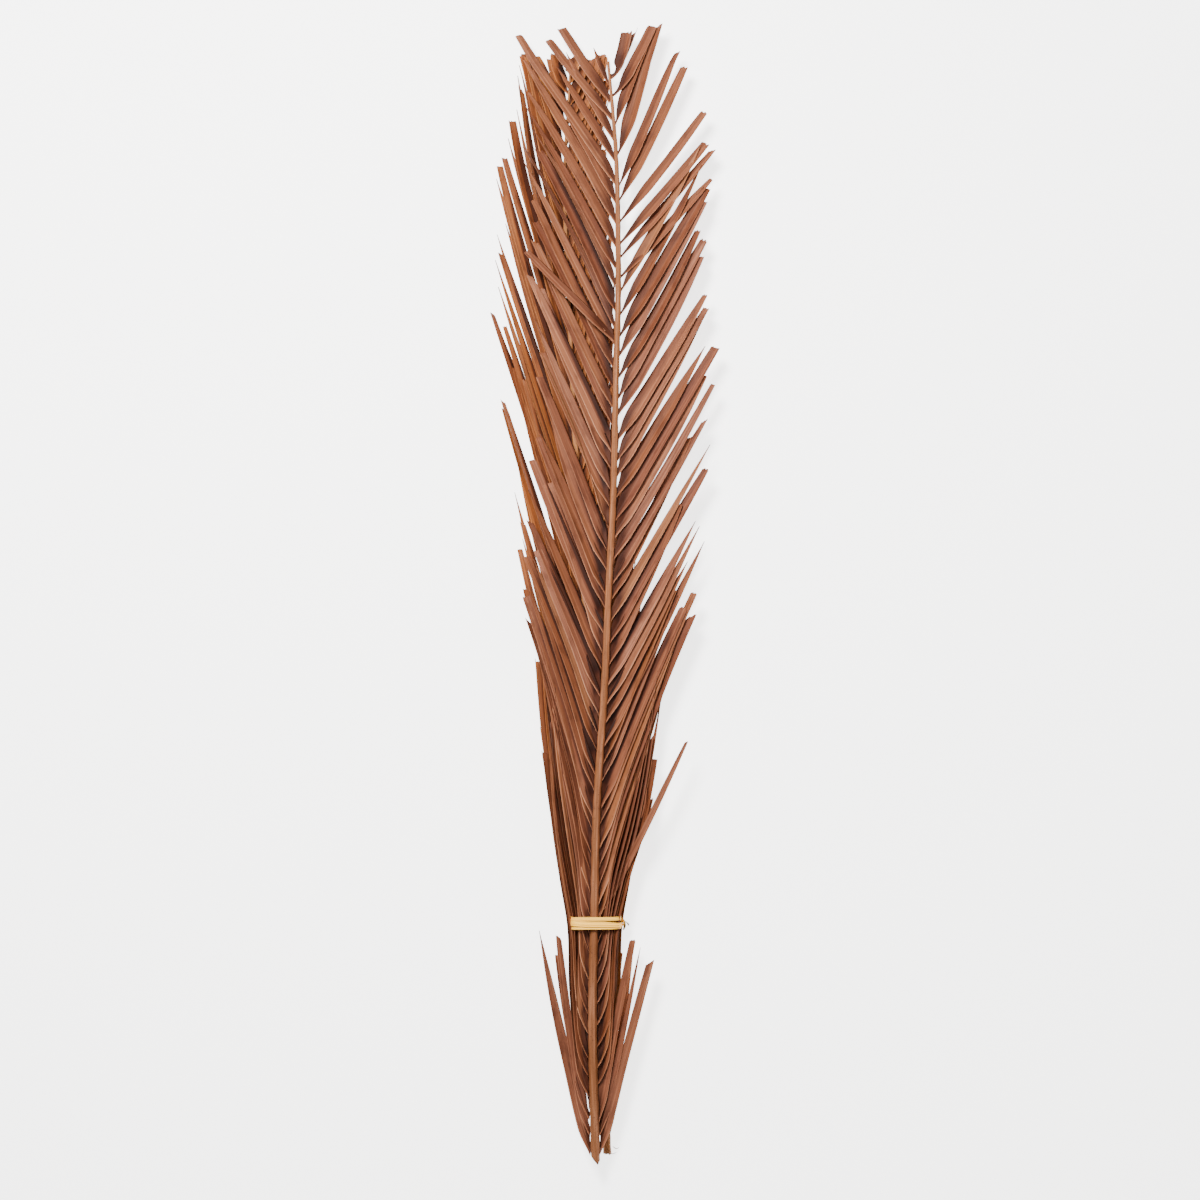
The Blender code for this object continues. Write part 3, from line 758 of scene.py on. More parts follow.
class LeafletRow:
    """Makes the blades of one side of a frond."""

    ROWS = 44
    HALF_COLUMNS = 11
    THICKNESS = 0.00045
    CLUSTER_LEAN = 0.08
    FREE_WIDTH = 0.60
    TRIMMED_WIDTH = 1.25
    SHADE_FALLOFF = 0.15
    FOOT_DIP, FOOT_DIP_LENGTH = 0.38, 0.045
    FOOT_FOLD, FOOT_FOLD_LENGTH = 0.75, 0.022
    HOOKED_LENGTH = 0.012
    RIB, RIB_WIDTH = 1.3, 0.10
    OUTERMOST_SHADE = -0.20
    FLAT_TILT = math.radians(37)
    STEEP_TILT = math.radians(54)

    def __init__(self, rule: FrondRule, side: Side, shift: Array) -> None:
        self.rule = rule
        self.side = side
        self.shift = shift
        self.rng = np.random.default_rng(100 * rule.seed + side.value)

    def feet(self) -> Array:
        """Positions of the leaflet feet from the base up, a little unevenly spaced."""
        first, last = self.rule.base_y + 0.016, self.rule.tip_y - 0.016
        even = np.linspace(first, last, LEAFLETS_PER_SIDE)
        half_step = 0.25 * self.side.value * (even[1] - even[0])
        return even + half_step + self.rng.uniform(-0.0035, 0.0035, LEAFLETS_PER_SIDE)

    def leaflets(self) -> list[Leaflet]:
        """Draws every leaflet of this side from the base up."""
        lean, left = 0.0, 0
        drawn = []
        for foot in self.feet():
            if left == 0:
                lean, left = self.rng.normal(0, self.CLUSTER_LEAN), self.rng.integers(1, 5)
            left -= 1
            drawn.append(self._draw(foot, lean))
        if self.rule.rise is not None:
            lowest, topmost = LOWEST[self.side], TOPMOST[self.side]
            drawn[: len(lowest)] = lowest
            drawn[-len(topmost):] = topmost
        return drawn

    def _draw(self, foot: float, lean: float) -> Leaflet:
        """Draws one leaflet's own measures.

        Args:
            foot: the height of its foot.
            lean: how far its cluster spreads beyond the rule.

        Returns:
            The leaflet. It stays below the tie if it is free, and is cut where it would pass the
            frond's trimmed height.
        """
        rule, rng = self.rule, self.rng
        high = float(smooth_step(foot, 0.05, 0.20))
        steep = high if rule.rise is not None and self.side is Side.LEFT else 0.0
        reach = float(rule.reach(foot)) * rng.uniform(0.88 + 0.06 * high, 1.10 - 0.04 * high)
        reach *= 1 + 0.12 * steep
        free, trimmed = foot < FREE_BELOW_Y[self.side], False
        if free:
            reach = min(reach, TIE_Y - 0.014 - rng.uniform(0, 0.02) - foot)
        tip = Tip(rng.choice([t.value for t in Tip], p=[0.48, 0.32, 0.20]))
        if reach > rule.trimmed_y - foot:
            reach, tip, trimmed = rule.trimmed_y - foot - rng.uniform(0, 0.006), Tip.CUT, True
        low = float(smooth_step(foot, 0.05, -0.45))
        leaning = lean * (1 + 0.8 * steep) + rng.normal(0, 0.05)
        leaning = float(np.clip(leaning, -0.30 + 0.20 * (high - steep), 0.03))
        share = self.FREE_WIDTH if free else self.TRIMMED_WIDTH if trimmed else 1.0
        return Leaflet(
            foot=foot,
            reach=reach,
            spread=1.0 + leaning * float(1 - rule.bound(foot)),
            width=rule.width * rng.uniform(0.84, 1.14) * share * (1 - 0.15 * steep),
            tilt=rng.normal(0, math.radians(7)) - 0.5 * free,
            twist=rng.normal(0, math.radians(12)),
            fold=rng.uniform(0.20, 0.60),
            bend=rng.normal(0, 0.0016),
            lift=rng.normal(0, 0.0011),
            tip=tip,
            kept=rng.uniform(0.66, 0.88) if tip is not Tip.POINTED else 1.0,
            warmth=float(np.clip(rng.normal(0.40, 0.26), 0, 1)) * (0.2 if free else 1.0),
            light=float(np.clip(rng.normal(1.0, 0.15), 0.68, 1.30)) * (1 - 0.10 * low),
            seed=float(rng.uniform(0, 10)),
        )

    def blade(self, leaflet: Leaflet) -> Surface:
        """Computes one blade as a closed surface.

        The fold line runs up the bunch at the frond's rule. At each place along it the blade reaches
        out to both sides by half its width, leaning by its tilt, and both halves rise from the fold
        as a rounded V. The width grows quickly from the foot, holds, and tapers to the tip. At the foot
        the inner edge starts above the fold and the outer edge below it, so the edges hook into the
        rachis. The under side repeats the upper one, one thickness lower, thinning to nothing at the
        edges.

        Args:
            leaflet: its measures.

        Returns:
            The surface, with its "blade" and "tint" attributes.
        """
        rule, sign = self.rule, self.side.value
        share = np.linspace(0, 1, self.ROWS) ** 1.25
        height = leaflet.reach * share
        fold_line = self._fold_line(leaflet, height)
        step = np.gradient(fold_line, axis=0)
        step[:, 2] = 0
        along = step / np.linalg.norm(step, axis=1, keepdims=True)
        across = np.stack([sign * along[:, 1], -sign * along[:, 0], np.zeros(self.ROWS)], axis=1)
        bound = rule.bound(leaflet.foot)
        spread = bound * rule.bundle[self.side](leaflet.foot + height) + (1 - bound) * WIDE
        openness = np.clip((spread - NARROW) / (WIDE - NARROW), 0, 1)
        broad = float(smooth_step(leaflet.foot, 0.30, -0.10))
        closing = smooth_step(height, 0.020, 0.090)
        tilt = self.FLAT_TILT + (self.STEEP_TILT - self.FLAT_TILT) * (1 - openness) * closing
        tilt = tilt - self.FOOT_DIP * broad * np.exp(-((height / self.FOOT_DIP_LENGTH) ** 2))
        tilt = tilt + leaflet.tilt + leaflet.twist * share
        half = 0.5 * leaflet.width * self._width_share(leaflet, share, broad)
        half = half * (1 - 0.15 * (1 - openness))
        upward = np.array([0.0, 0.0, 1.0])
        out_edge = across * np.cos(tilt)[:, None] + upward * np.sin(tilt)[:, None]
        normal = upward * np.cos(tilt)[:, None] - across * np.sin(tilt)[:, None]
        hooked = (1 - smooth_step(height, 0.0, self.HOOKED_LENGTH + self.HOOKED_LENGTH * broad))[:, None]
        out_edge = out_edge * (1 - hooked) + np.array([0.10 * sign, -0.95, 0.10 + 0.30 * broad]) * hooked
        if rule.rise is None:
            resting = half * np.abs(np.sin(tilt)) + leaflet.fold * half + self.THICKNESS
            fold_line[:, 2] = np.maximum(fold_line[:, 2], resting)
        place = np.linspace(-1, 1, self.HALF_COLUMNS)
        place = np.sign(place) * np.abs(place) ** 0.9
        vee = np.sqrt(place**2 + 0.012) - 0.5 - 0.10 * place**2
        sag = leaflet.fold * (1 - 0.35 * share) * smooth_step(height, -0.004, 0.020)
        sag = sag + self.FOOT_FOLD * broad * np.exp(-((height / self.FOOT_FOLD_LENGTH) ** 2))
        top = (fold_line[:, None] + (half[:, None] * place)[..., None] * out_edge[:, None]
               + ((half * sag)[:, None] * vee)[..., None] * normal[:, None])
        if leaflet.tip is not Tip.POINTED:
            jagged = 0.22 * np.sin(place * 7.0 + 40 * leaflet.seed) + 0.12 * np.sin(place * 23 + leaflet.seed)
            slant = (0.9 if leaflet.tip is Tip.SLANTED else 0.15) * place + jagged
            slant = half[:, None] * slant * smooth_step(share, 0.88, 1.0)[:, None]
            top = top + slant[..., None] * along[:, None]
        thick = self.THICKNESS * (1 - place**6)
        rib = 1 + self.RIB * np.exp(-((place / self.RIB_WIDTH) ** 2)) * (1 - share[:, None] * 0.7)
        under = top - (thick * rib)[..., None] * normal[:, None]
        ring = np.concatenate([top, under[:, -2:0:-1]], axis=1)
        places = np.concatenate([place, place[-2:0:-1]])
        covered = self._covered(leaflet, height, half * np.cos(tilt), along, places)
        # Painted shadow: brightness is lowered where the next leaflet up lies over this one (see _covered).
        light = leaflet.light * (1 - CONTACT_SHADE * covered)
        data = leaf_data(ring.shape[:2], half[:, None] * places, height[:, None], places,
                         leaflet.warmth, light, leaflet.seed, (share * leaflet.kept)[:, None])
        return Surface(ring + self.shift, data)

    def _covered(self, leaflet: Leaflet, height: Array, half: Array, along: Array,
                 place: Array) -> Array:
        """How near each point is to where the next leaflet up the rachis lies over this one.

        The gap between both fold lines, less the half width, says how far in from the inner edge the
        next one's outer edge stands; the shade is full under it and falls off exponentially beyond.

        Args:
            leaflet: its measures.
            height: heights above its foot, one for each row.
            half: half its width at each, as seen from above.
            along: its unit direction at each.
            place: place across it, from -1 to 1, one for each column.

        Returns:
            The cover from 0 to 1, of shape (rows, columns). A leaflet with a place of its own has none.
        """
        rule = self.rule
        if leaflet.tip_out is not None:
            return np.zeros((self.ROWS, len(place)))
        pitch = (rule.tip_y - rule.base_y) / LEAFLETS_PER_SIDE
        own = rule.out(self.side, np.full_like(height, leaflet.foot), height)
        next_foot = np.full_like(height, leaflet.foot + pitch)
        following = rule.out(self.side, next_foot, np.maximum(height - pitch, 0))
        edge = 1 - (own - following) * along[:, 1] / np.maximum(half, 1e-5)
        begun = smooth_step(height, 0.5 * pitch, 1.1 * pitch)
        begun = begun * smooth_step(height, leaflet.reach, 0.8 * leaflet.reach)
        begun = begun * (1 - 0.55 * smooth_step(edge, -0.2, 0.7))
        if self.side is Side.RIGHT:
            begun = begun * (0.30 + 0.70 * smooth_step(leaflet.foot, 0.12, -0.10))
        beyond = np.clip(place - np.minimum(edge, self.OUTERMOST_SHADE)[:, None], 0, None)
        return begun[:, None] * np.exp(-beyond / self.SHADE_FALLOFF)

    def _fold_line(self, leaflet: Leaflet, height: Array) -> Array:
        """The fold's course: out from the rachis by the spread rule, with its own bow and lift."""
        rule, sign = self.rule, self.side.value
        foot, share = leaflet.foot, height / leaflet.reach
        if leaflet.tip_out is None:
            out = leaflet.spread * rule.out(self.side, np.full_like(height, foot), height)
        else:
            out = leaflet.tip_out * share ** leaflet.sweep
        out = out + leaflet.bend * np.sin(math.pi * share) - 0.0004
        y = foot + height
        x = rule.centre_x(y) + sign * (rule.radius(foot) + out)
        if rule.rise is None:
            over_tie = 0.0020 * np.exp(-(((y - TIE_Y) / 0.055) ** 2))
            z = np.maximum(rule.foot_z(foot) * (1 - share) ** 2, 0.0) + over_tie
        else:
            z = rule.foot_z(foot) + rule.rise * out / WIDE
        z = z + leaflet.lift * smooth_step(share, leaflet.risen - 0.3, leaflet.risen)
        return np.stack([x, y, z], axis=1)

    def _width_share(self, leaflet: Leaflet, share: Array, broad: float) -> Array:
        """Width along the blade: growth from the foot, quicker where broad, then a late taper."""
        natural = share * leaflet.kept
        broad = max(broad, 0.60) if self.side is Side.LEFT and self.rule.rise is not None else broad
        start, length = 0.22 + 0.62 * broad, min(0.036 - 0.020 * broad, 0.35 * leaflet.reach)
        growing = start + (1 - start) * smooth_step(share * leaflet.reach, -0.002, length)
        tapering = 1 - 0.22 * natural - 0.78 * np.clip((natural - 0.45) / 0.55, 0, 1) ** 2.0
        return growing * np.maximum(tapering, 0.035)


class Frond:
    """One frond: its rachis and its leaflet pieces."""

    STEM_ROWS = 420
    STEM_COLUMNS = 28

    def __init__(self, rule: FrondRule, shift: Array, leaf: LeafFinish, stem: StemFinish) -> None:
        self.rule = rule
        self.shift = shift
        self.leaf = leaf.material()
        self.stem = stem.material()

    def build(self, cut: Callable[[Array], Array]) -> None:
        """Adds the rachis and both rows of leaflets.

        Args:
            cut: how far above the frond's lowest point its cut end starts, for each offset from the
                rachis's centre line.
        """
        name = f"rachis_{self.rule.name}"
        add_piece(f"{name}_skin", [self._rachis(cut)], self.stem, [name])
        # A dark band under the rachis: painted shade for the recesses at the lower leaflet feet.
        add_piece(f"{name}_sheath", [self._sheath()], self.leaf, [name])
        for side in Side:
            row = LeafletRow(self.rule, side, self.shift)
            leaflets = row.leaflets()
            for number, indices in enumerate(np.array_split(np.arange(len(leaflets)), GROUPS_PER_SIDE), 1):
                blades = [row.blade(leaflets[i]) for i in indices]
                node = f"leaflets_{self.rule.name}_{side.name.lower()}_{number:02d}"
                add_piece(node.replace("leaflets", "blades"), blades, self.leaf, [node])

    def add_single(self, node: str, side: Side, leaflet: Leaflet, *slivers: "Band") -> None:
        """Adds one leaflet that has a node of its own, and the slivers split from it."""
        blade = LeafletRow(self.rule, side, self.shift).blade(leaflet)
        surfaces = [blade, *(sliver.surface(self.shift) for sliver in slivers)]
        add_piece(node.replace("leaflet", "blade"), surfaces, self.leaf, [node])

    def _sheath(self) -> Surface:
        """A dark band under the rachis: painted shade for the shaded recesses at the lower leaflet feet."""
        rule = self.rule
        ys = np.linspace(rule.base_y + 0.055, SHADE_STRIP_TOP_Y, 12)
        course = tuple((float(rule.centre_x(y)), float(y), float(rule.foot_z(y)) - 0.0028) for y in ys)
        return Band(course, SHADE_STRIP_WIDTH, 0.0007, warmth=0.1, light=0.30).surface(self.shift)

    def _rachis(self, cut: Callable[[Array], Array]) -> Surface:
        """Computes the rachis as a closed surface.

        Its radius follows the frond's rule, flattened a little from above, with one long furrow high on
        one side that fades towards the tip, a slight swelling at each leaflet foot, and shallow
        wrinkles. Its lower end starts where the cut meets it, and closes inward as fibrous core.

        Args:
            cut: see build.

        Returns:
            The surface, with its "stem" and "tint" attributes.
        """
        rule = self.rule
        rng = np.random.default_rng(rule.seed + 5)
        angle = np.linspace(0, 2 * math.pi, self.STEM_COLUMNS, endpoint=False)
        share = np.linspace(0, 1, self.STEM_ROWS)
        length = rule.tip_y - rule.base_y
        radius = rule.radius(rule.base_y + share * length)
        start = cut(radius[0] * np.cos(angle))
        y = rule.base_y + start + share[:, None] * (length - start)
        radius = rule.radius(y)
        basal = smooth_step(y, 0.15, -0.45)
        furrow = -0.10 * basal * np.exp(-((np.sin(angle - 0.55) / 0.22) ** 2)) * (np.sin(angle) > 0)
        ridges = 0.022 * np.sin(9 * angle + 2.0) + 0.012 * np.sin(14 * angle + 30 * y)
        pitch = length / LEAFLETS_PER_SIDE
        beads = 0.05 * np.cos(2 * math.pi * y / pitch) * np.abs(np.cos(angle)) ** 3
        wave = 0.02 * np.sin(2 * math.pi * y / 0.037 + 2 * angle)
        size = radius * (1 + furrow + ridges + beads + wave)
        bow = 0.0004 * np.sin(2 * math.pi * y / 0.21 + rule.seed)
        x = rule.centre_x(y) + bow + size * np.cos(angle)
        z = rule.centre_z(y) + 0.92 * size * np.sin(angle)
        skin = np.stack([x, y, z], axis=-1)
        centre = skin[0].mean(axis=0)
        insets = np.array([0.12, 0.45, 0.80, 0.90])[:, None, None]
        core = centre + (skin[0] - centre) * insets
        core[..., 1] += 0.0012 * rng.uniform(-1, 1, core.shape[:2]) * (insets[..., 0] < 0.85)
        points = np.concatenate([core, skin])
        rows = len(points)
        inside = np.zeros((rows, self.STEM_COLUMNS))
        inside[: len(core)] = 1.0
        around = np.abs(angle - math.pi) * radius.mean()
        stem = np.stack([np.broadcast_to(around, inside.shape), points[..., 1] - rule.base_y,
                         np.broadcast_to(np.linspace(0, 1, rows)[:, None], inside.shape)], axis=-1)
        light = 1.06 - 0.16 * smooth_step(points[..., 1], 0.1, -0.5)
        tint = np.stack([inside * 0, light, inside, inside * 0 + 1], axis=-1)
        return Surface(points + self.shift, {"stem": stem, "tint": tint})


@dataclass(frozen=True)
class RaffiaSizes:
    """The tie's measures."""

    centre_x: float = -0.011
    centre_z: float = 0.0180
    half_width: float = 0.0250
    half_height: float = 0.0162
    squareness: float = 4.0
    thickness: float = 0.0005


@dataclass(frozen=True)
class Strand:
    """One flat strand of raffia round the bunch.

    Attributes:
        y: where it runs, from the tie's middle.
        slope: how far it moves along the bunch from the left side to the right, on top.
        width: its width.
        layer: how many strands lie under it.
    """

    y: float
    slope: float
    width: float
    layer: float
    seed: int


@dataclass(frozen=True)
class Band:
    """A narrow flat band along a free course, such as a fibre, a knot's loop or a split sliver.

    Attributes:
        course: points it passes through, from its foot.
        width: its width in the middle.
        thickness: its thickness.
        flat: the direction that its flat side faces.
    """

    course: tuple[tuple[float, float, float], ...]
    width: float
    thickness: float
    flat: tuple[float, float, float] = (0.0, 0.0, 1.0)
    warmth: float = 0.5
    light: float = 1.0
    seed: float = 0.0

    ROWS = 48
    HALF_COLUMNS = 7

    def surface(self, shift: Array) -> Surface:
        """Computes the band as a closed surface.

        A smooth curve runs through the course's points, evenly in its parameter. At each place the
        band is a flattened ellipse across the curve, whose width swells from both ends.

        Args:
            shift: added to every point.

        Returns:
            The surface, with its "blade" and "tint" attributes.
        """
        share = np.linspace(0, 1, self.ROWS)
        knots = np.linspace(0, 1, len(self.course))
        axes = np.array(self.course).T
        line = np.stack([SmoothCurve(tuple(zip(knots, axis)))(share) for axis in axes], axis=1)
        step = np.gradient(line, axis=0)
        along = step / np.linalg.norm(step, axis=1, keepdims=True)
        across = np.cross(along, np.array(self.flat))
        across = across / np.linalg.norm(across, axis=1, keepdims=True)
        normal = np.cross(across, along)
        angle = np.linspace(0, 2 * math.pi, 2 * self.HALF_COLUMNS, endpoint=False)
        half = 0.5 * self.width * (0.25 + 0.75 * np.sin(math.pi * np.clip(share * 0.92 + 0.06, 0, 1)) ** 0.6)
        creased = 0.5 * self.thickness * (np.sin(angle) + 0.25 * np.cos(3 * angle))
        ring = (line[:, None] + (half[:, None] * np.cos(angle))[..., None] * across[:, None]
                + (np.sqrt(half / half.max())[:, None] * creased)[..., None] * normal[:, None])
        length = np.cumsum(np.linalg.norm(np.diff(line, axis=0, prepend=line[:1]), axis=1))
        data = leaf_data(ring.shape[:2], half[:, None] * np.cos(angle), length[:, None] + 0.03,
                         0.8 * np.cos(angle), self.warmth, self.light, self.seed,
                         (0.5 + 0.45 * share)[:, None])
        return Surface(ring + shift, data)


class RaffiaTie:
    """The tie: flat strands laid over each other, a knot and two ends."""

    AROUND = 260
    ACROSS = 9

    def __init__(self, sizes: RaffiaSizes, shift: Array, finish: RaffiaFinish) -> None:
        self.sizes = sizes
        self.shift = shift
        self.material = finish.material()

    def build(self) -> None:
        """Adds all pieces of the tie."""
        upper = [Strand(0.0049, 0.0001, 0.0042, 0, 1), Strand(0.0006, -0.0020, 0.0042, 1, 2)]
        lower = [Strand(-0.0032, 0.0005, 0.0048, 0, 3), Strand(-0.0014, -0.0008, 0.0026, 1.6, 4)]
        add_piece("raffia_upper_turns", [self._turn(s) for s in upper], self.material,
                  ["raffia_strand_1"])
        add_piece("raffia_lower_turns", [self._turn(s) for s in lower], self.material,
                  ["raffia_strand_2"])
        self._knot()

    def _knot(self) -> None:
        """The flat knot at the right and its two ends, both dark."""
        side = self.sizes.centre_x + self.sizes.half_width
        middle = self.sizes.centre_z

        def band(offsets: Sequence[tuple[float, float, float]], width: float, thickness: float,
                 flat: tuple[float, float, float], warmth: float, light: float, seed: float) -> Band:
            """A band through these offsets from the knot's middle."""
            course = tuple((side + x, TIE_Y + y, middle + z) for x, y, z in offsets)
            return Band(course, width, thickness, flat, warmth, light, seed)

        loops = [
            band(((0.0004, -0.0040, -0.001), (0.0026, -0.0015, 0.001), (0.0030, 0.0018, 0.0016),
                  (0.0006, 0.0042, 0.0)), 0.0034, 0.0008, (1.0, 0.0, 0.0), 0.35, 1.0, 5.0),
            band(((0.0006, 0.0026, 0.0020), (0.0034, 0.0006, 0.0012), (0.0036, -0.0010, -0.0012),
                  (0.0006, -0.0028, -0.0022)), 0.0026, 0.0008, (1.0, 0.0, 0.0), 0.6, 0.92, 6.0),
        ]
        add_piece("raffia_knot_loops", [loop.surface(self.shift) for loop in loops], self.material,
                  ["raffia_knot"])
        upper = band(((0.0030, 0.0016, 0.0), (0.0056, 0.0004, -0.0010), (0.0074, -0.0016, -0.0050),
                      (0.0080, -0.0040, -0.0110)), 0.0022, 0.0006, (0.0, 1.0, 0.3), 1.0, 0.14, 7.0)
        lower = band(((0.0020, 0.0040, 0.0), (0.0034, 0.0006, 0.0012), (0.0040, -0.0036, 0.0),
                      (0.0028, -0.0076, -0.0030)), 0.0026, 0.0006, (0.2, 0.0, 1.0), 1.0, 0.14, 8.0)
        add_piece("raffia_end_upper", [upper.surface(self.shift)], self.material, ["raffia_end_1"])
        add_piece("raffia_end_lower", [lower.surface(self.shift)], self.material, ["raffia_end_2"])

    def _outline(self, angle: Array, margin: Array) -> tuple[Array, Array]:
        """X and Z of the rounded outline round the bunch, this far outside it."""
        sizes = self.sizes
        power = 2 / sizes.squareness
        cos, sin = np.cos(angle), np.sin(angle)
        x = sizes.centre_x + (sizes.half_width + margin) * np.sign(cos) * np.abs(cos) ** power
        z = sizes.centre_z + (sizes.half_height + margin) * np.sign(sin) * np.abs(sin) ** power
        return x, z

    def _turn(self, strand: Strand) -> Surface:
        """Computes one closed turn as a flat ring.

        The ring follows the outline; it drifts along the bunch on its upper side, is creased
        lengthwise, and its edges waver.

        Args:
            strand: its measures.

        Returns:
            The surface, closed on itself by a last row that meets the first.
        """
        rng = np.random.default_rng(strand.seed)
        angle = np.linspace(0, 2 * math.pi, self.AROUND)
        place = np.linspace(-1, 1, self.ACROSS)
        waver = sum(rng.uniform(0.3, 1.0) * np.sin(n * angle + rng.uniform(0, 6)) / n for n in (2, 5, 9, 14))
        width = strand.width * (1 + 0.10 * waver)
        middle = TIE_Y + strand.y + strand.slope * np.cos(angle) * (np.sin(angle) > 0) + 0.00025 * waver
        margin = 0.0004 + strand.layer * 0.00055 + 0.00022 * np.cos(place * 4.0 + strand.seed)
        x, z = self._outline(angle[:, None], margin[None, :])
        y = middle[:, None] + 0.5 * width[:, None] * place
        outer = np.stack([x, y, z], axis=-1)
        x, z = self._outline(angle[:, None], (margin - self.sizes.thickness * (1 - place**4))[None, :])
        inner = np.stack([x, y, z], axis=-1)
        ring = np.concatenate([outer, inner[:, -2:0:-1]], axis=1)
        places = np.concatenate([place, place[-2:0:-1]])
        middle_column = outer[:, self.ACROSS // 2]
        along = np.cumsum(np.linalg.norm(np.diff(middle_column, axis=0, prepend=middle_column[:1]), axis=1))
        warmth, light = rng.uniform(0.2, 0.6), rng.uniform(0.92, 1.06)
        data = leaf_data(ring.shape[:2], 0.5 * width[:, None] * places, along[:, None], places,
                         warmth, light, strand.seed, 0.5)
        return Surface(ring + self.shift, data)


class Studio:
    """Pale floor, soft lights and a camera that looks straight down."""

    FRAME = 1.2
    LENS = 100.0
    SENSOR = 36.0
    MIDDLE_HEIGHT = 0.022
    AIM = (-0.0075, -0.0025)
    LAMPS = (("key", (-0.55, 1.10, 1.84), 0.6, 138.0),
             ("fill", (1.4, -0.6, 1.8), 1.4, 10.0),
             ("top", (0.0, 0.0, 2.6), 0.8, 26.0))
    SKY_STRENGTH = 0.12
    FLOOR_REACH = 6.0
    FLOOR_GLOW = 2.9

    def build(self) -> None:
        """Adds the floor, the lights, the world and the camera."""
        self._floor()
        for lamp in self.LAMPS:
            self._light(*lamp)
        world = bpy.data.worlds.new("studio")
        world.use_nodes = True
        background = world.node_tree.nodes["Background"]
        background.inputs["Color"].default_value = (1.0, 0.99, 0.97, 1.0)
        background.inputs["Strength"].default_value = self.SKY_STRENGTH
        bpy.context.scene.world = world
        self._camera()

    def _floor(self) -> None:
        """A large pale plane under the bunch."""
        mesh = bpy.data.meshes.new("floor")
        reach = self.FLOOR_REACH
        corners = [(-reach, -reach, 0), (reach, -reach, 0), (reach, reach, 0), (-reach, reach, 0)]
        mesh.from_pydata(corners, [], [(0, 1, 2, 3)])
        graph = Graph("floor_paper")
        graph.shader.inputs["Base Color"].default_value = (0.92, 0.915, 0.905, 1.0)
        graph.shader.inputs["Roughness"].default_value = 0.9
        graph.shader.inputs["Emission Color"].default_value = (1.0, 0.995, 0.985, 1.0)
        graph.shader.inputs["Emission Strength"].default_value = self.FLOOR_GLOW
        mesh.materials.append(graph.material)
        floor = bpy.data.objects.new("floor", mesh)
        bpy.context.scene.collection.objects.link(floor)

    def _light(self, name: str, place: tuple[float, float, float], size: float, power: float) -> None:
        """A square area light at this place, turned to the bunch."""
        lamp = bpy.data.lights.new(name, "AREA")
        lamp.shape, lamp.size, lamp.energy = "SQUARE", size, power
        light = bpy.data.objects.new(name, lamp)
        light.location = place
        towards = -np.array(place)
        light.rotation_euler = (math.atan2(math.hypot(towards[0], towards[1]), -towards[2]), 0.0,
                                math.atan2(towards[1], towards[0]) - math.pi / 2)
        bpy.context.scene.collection.objects.link(light)

    def _camera(self) -> None:
        """The camera over the bunch, its frame FRAME metres wide at the bunch's mid-height."""
        lens = bpy.data.cameras.new("camera")
        lens.lens, lens.sensor_width = self.LENS, self.SENSOR
        camera = bpy.data.objects.new("camera", lens)
        camera.location = (*self.AIM, self.MIDDLE_HEIGHT + self.FRAME * self.LENS / self.SENSOR)
        bpy.context.scene.collection.objects.link(camera)
        bpy.context.scene.camera = camera


LEAF_FRONT = LeafFinish(
    name="leaf_front", cool=(0.180, 0.060, 0.033), warm=(0.230, 0.076, 0.027),
    dark=(0.038, 0.0095, 0.004), pale=(0.42, 0.175, 0.092))
LEAF_BACK = LeafFinish(
    name="leaf_back", cool=(0.190, 0.060, 0.026), warm=(0.31, 0.096, 0.023),
    dark=(0.038, 0.008, 0.002), pale=(0.45, 0.155, 0.042))
STEM_FRONT = StemFinish(
    name="stem_front", skin=(0.180, 0.062, 0.021), dark=(0.045, 0.014, 0.007),
    pale=(0.34, 0.135, 0.064), core=(0.40, 0.18, 0.085))
STEM_BACK = StemFinish(
    name="stem_back", skin=(0.28, 0.104, 0.034), dark=(0.07, 0.021, 0.007),
    pale=(0.42, 0.185, 0.068), core=(0.43, 0.21, 0.08))
RAFFIA = RaffiaFinish(name="raffia", pale=(1.0, 0.56, 0.055), tan=(0.98, 0.49, 0.045),
                      dark=(0.30, 0.12, 0.04))
CROSSING = Leaflet(0.256, 0.086, tip_out=0.0885, sweep=0.96, width=0.0118, fold=0.34, lift=0.0085,
                   tip=Tip.CUT, kept=0.72, light=0.98, warmth=0.3, seed=4.0)
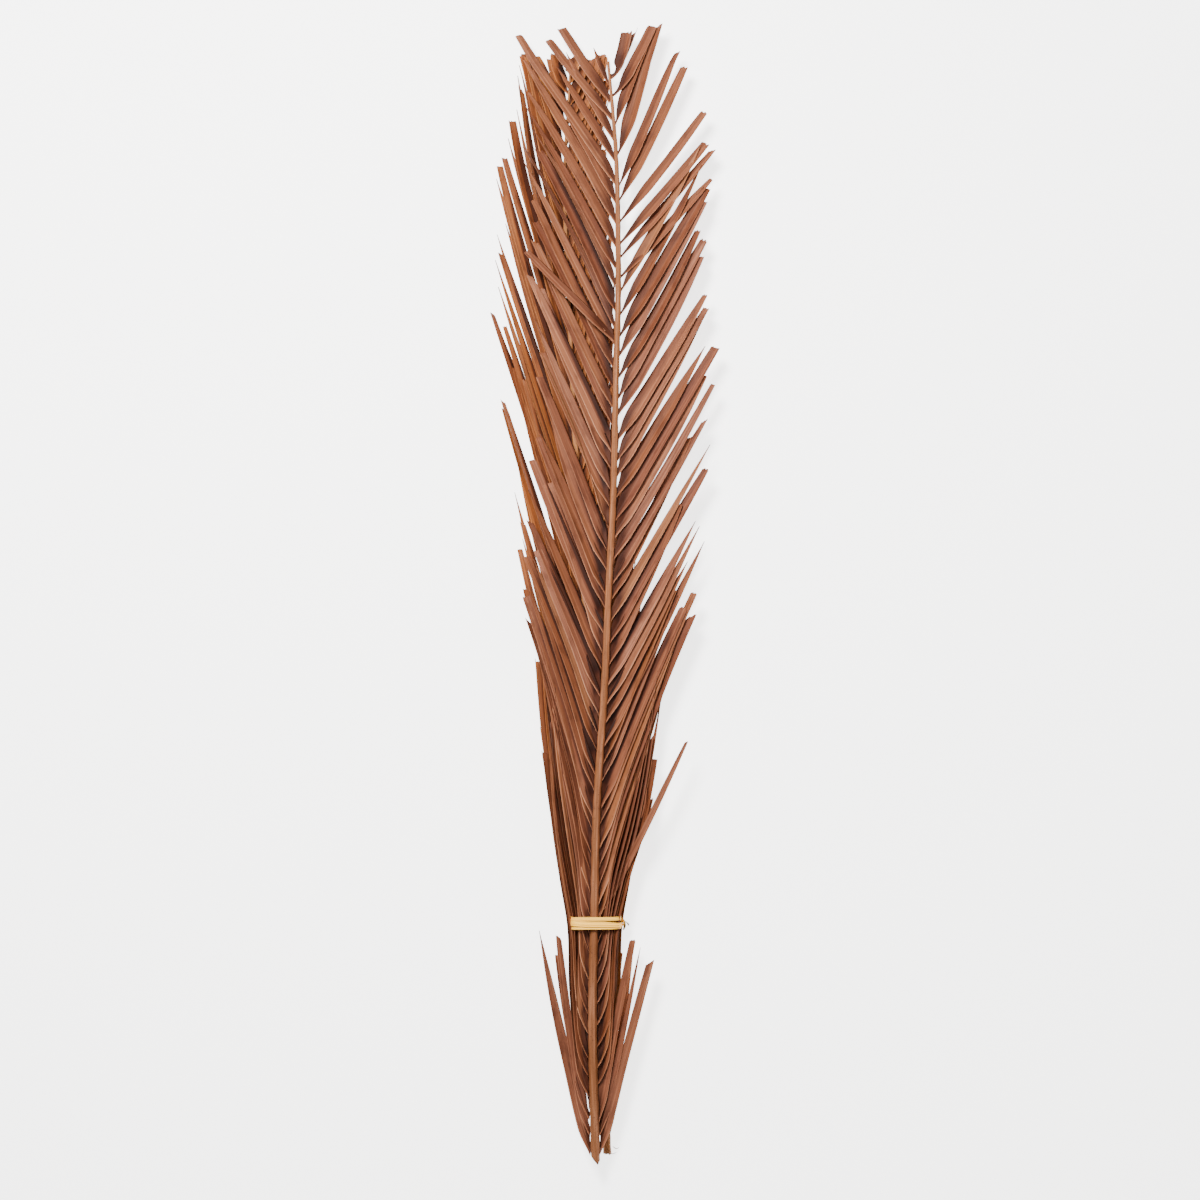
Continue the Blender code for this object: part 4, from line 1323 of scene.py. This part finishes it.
STRAY = Leaflet(-0.318, 0.172, tip_out=0.0815, sweep=0.86, width=0.0088, fold=0.30, lift=0.0105,
                tilt=-0.35, tip=Tip.SLANTED, kept=0.86, light=0.95, warmth=0.3, seed=4.2, risen=0.5)
STRAY_SLIVER = Band(((0.0345, -0.222, 0.036), (0.0375, -0.210, 0.036), (0.0388, -0.200, 0.035),
                     (0.0402, -0.1915, 0.034)), 0.0016, 0.0004, light=0.7)


def pointed_cut(offset: Array) -> Array:
    """The front stem's cut: a point right of the middle, with a long slope to the left."""
    from_point = offset - 0.0024
    return np.where(from_point < 0, -1.25 * from_point, 1.9 * from_point)


def square_cut(offset: Array) -> Array:
    """The back stem's cut: nearly square, a little ragged."""
    return 0.0008 + 0.0009 * np.sin(offset * 2900) * np.cos(offset * 1300)


BASE_FIBRES = (
    Band(((0.0060, -0.5540, 0.006), (0.0095, -0.5565, 0.005), (0.0125, -0.5555, 0.003)), 0.0006, 0.0004,
         light=0.7),
    Band(((0.0030, -0.5590, 0.004), (0.0058, -0.5620, 0.003), (0.0100, -0.5605, 0.002)), 0.0005, 0.0004,
         light=0.9),
)


def main() -> None:
    """Builds the scene: the frame, both fronds, the tie, and the studio round them."""
    logging.basicConfig(level=logging.INFO, format="%(name)s: %(message)s")
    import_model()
    low, high = (np.array(corner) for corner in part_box("raffia_strand_1"))
    nominal = np.array([RaffiaSizes.centre_x, TIE_Y + 0.0029, RaffiaSizes.centre_z])
    shift = (low + high) / 2 - nominal
    LOG.info("shift from rule to frame: %s", shift)
    Studio().build()
    front = Frond(FRONT, shift, LEAF_FRONT, STEM_FRONT)
    front.build(pointed_cut)
    front.add_single("leaflet_front_left_crossing", Side.LEFT, CROSSING)
    front.add_single("leaflet_front_right_stray", Side.RIGHT, STRAY, STRAY_SLIVER)
    back = Frond(BACK, shift, LEAF_BACK, STEM_BACK)
    back.build(square_cut)
    add_piece("base_fibres", [fibre.surface(shift) for fibre in BASE_FIBRES], back.leaf)
    RaffiaTie(RaffiaSizes(), shift, RAFFIA).build()


if __name__ == "__main__":
    main()
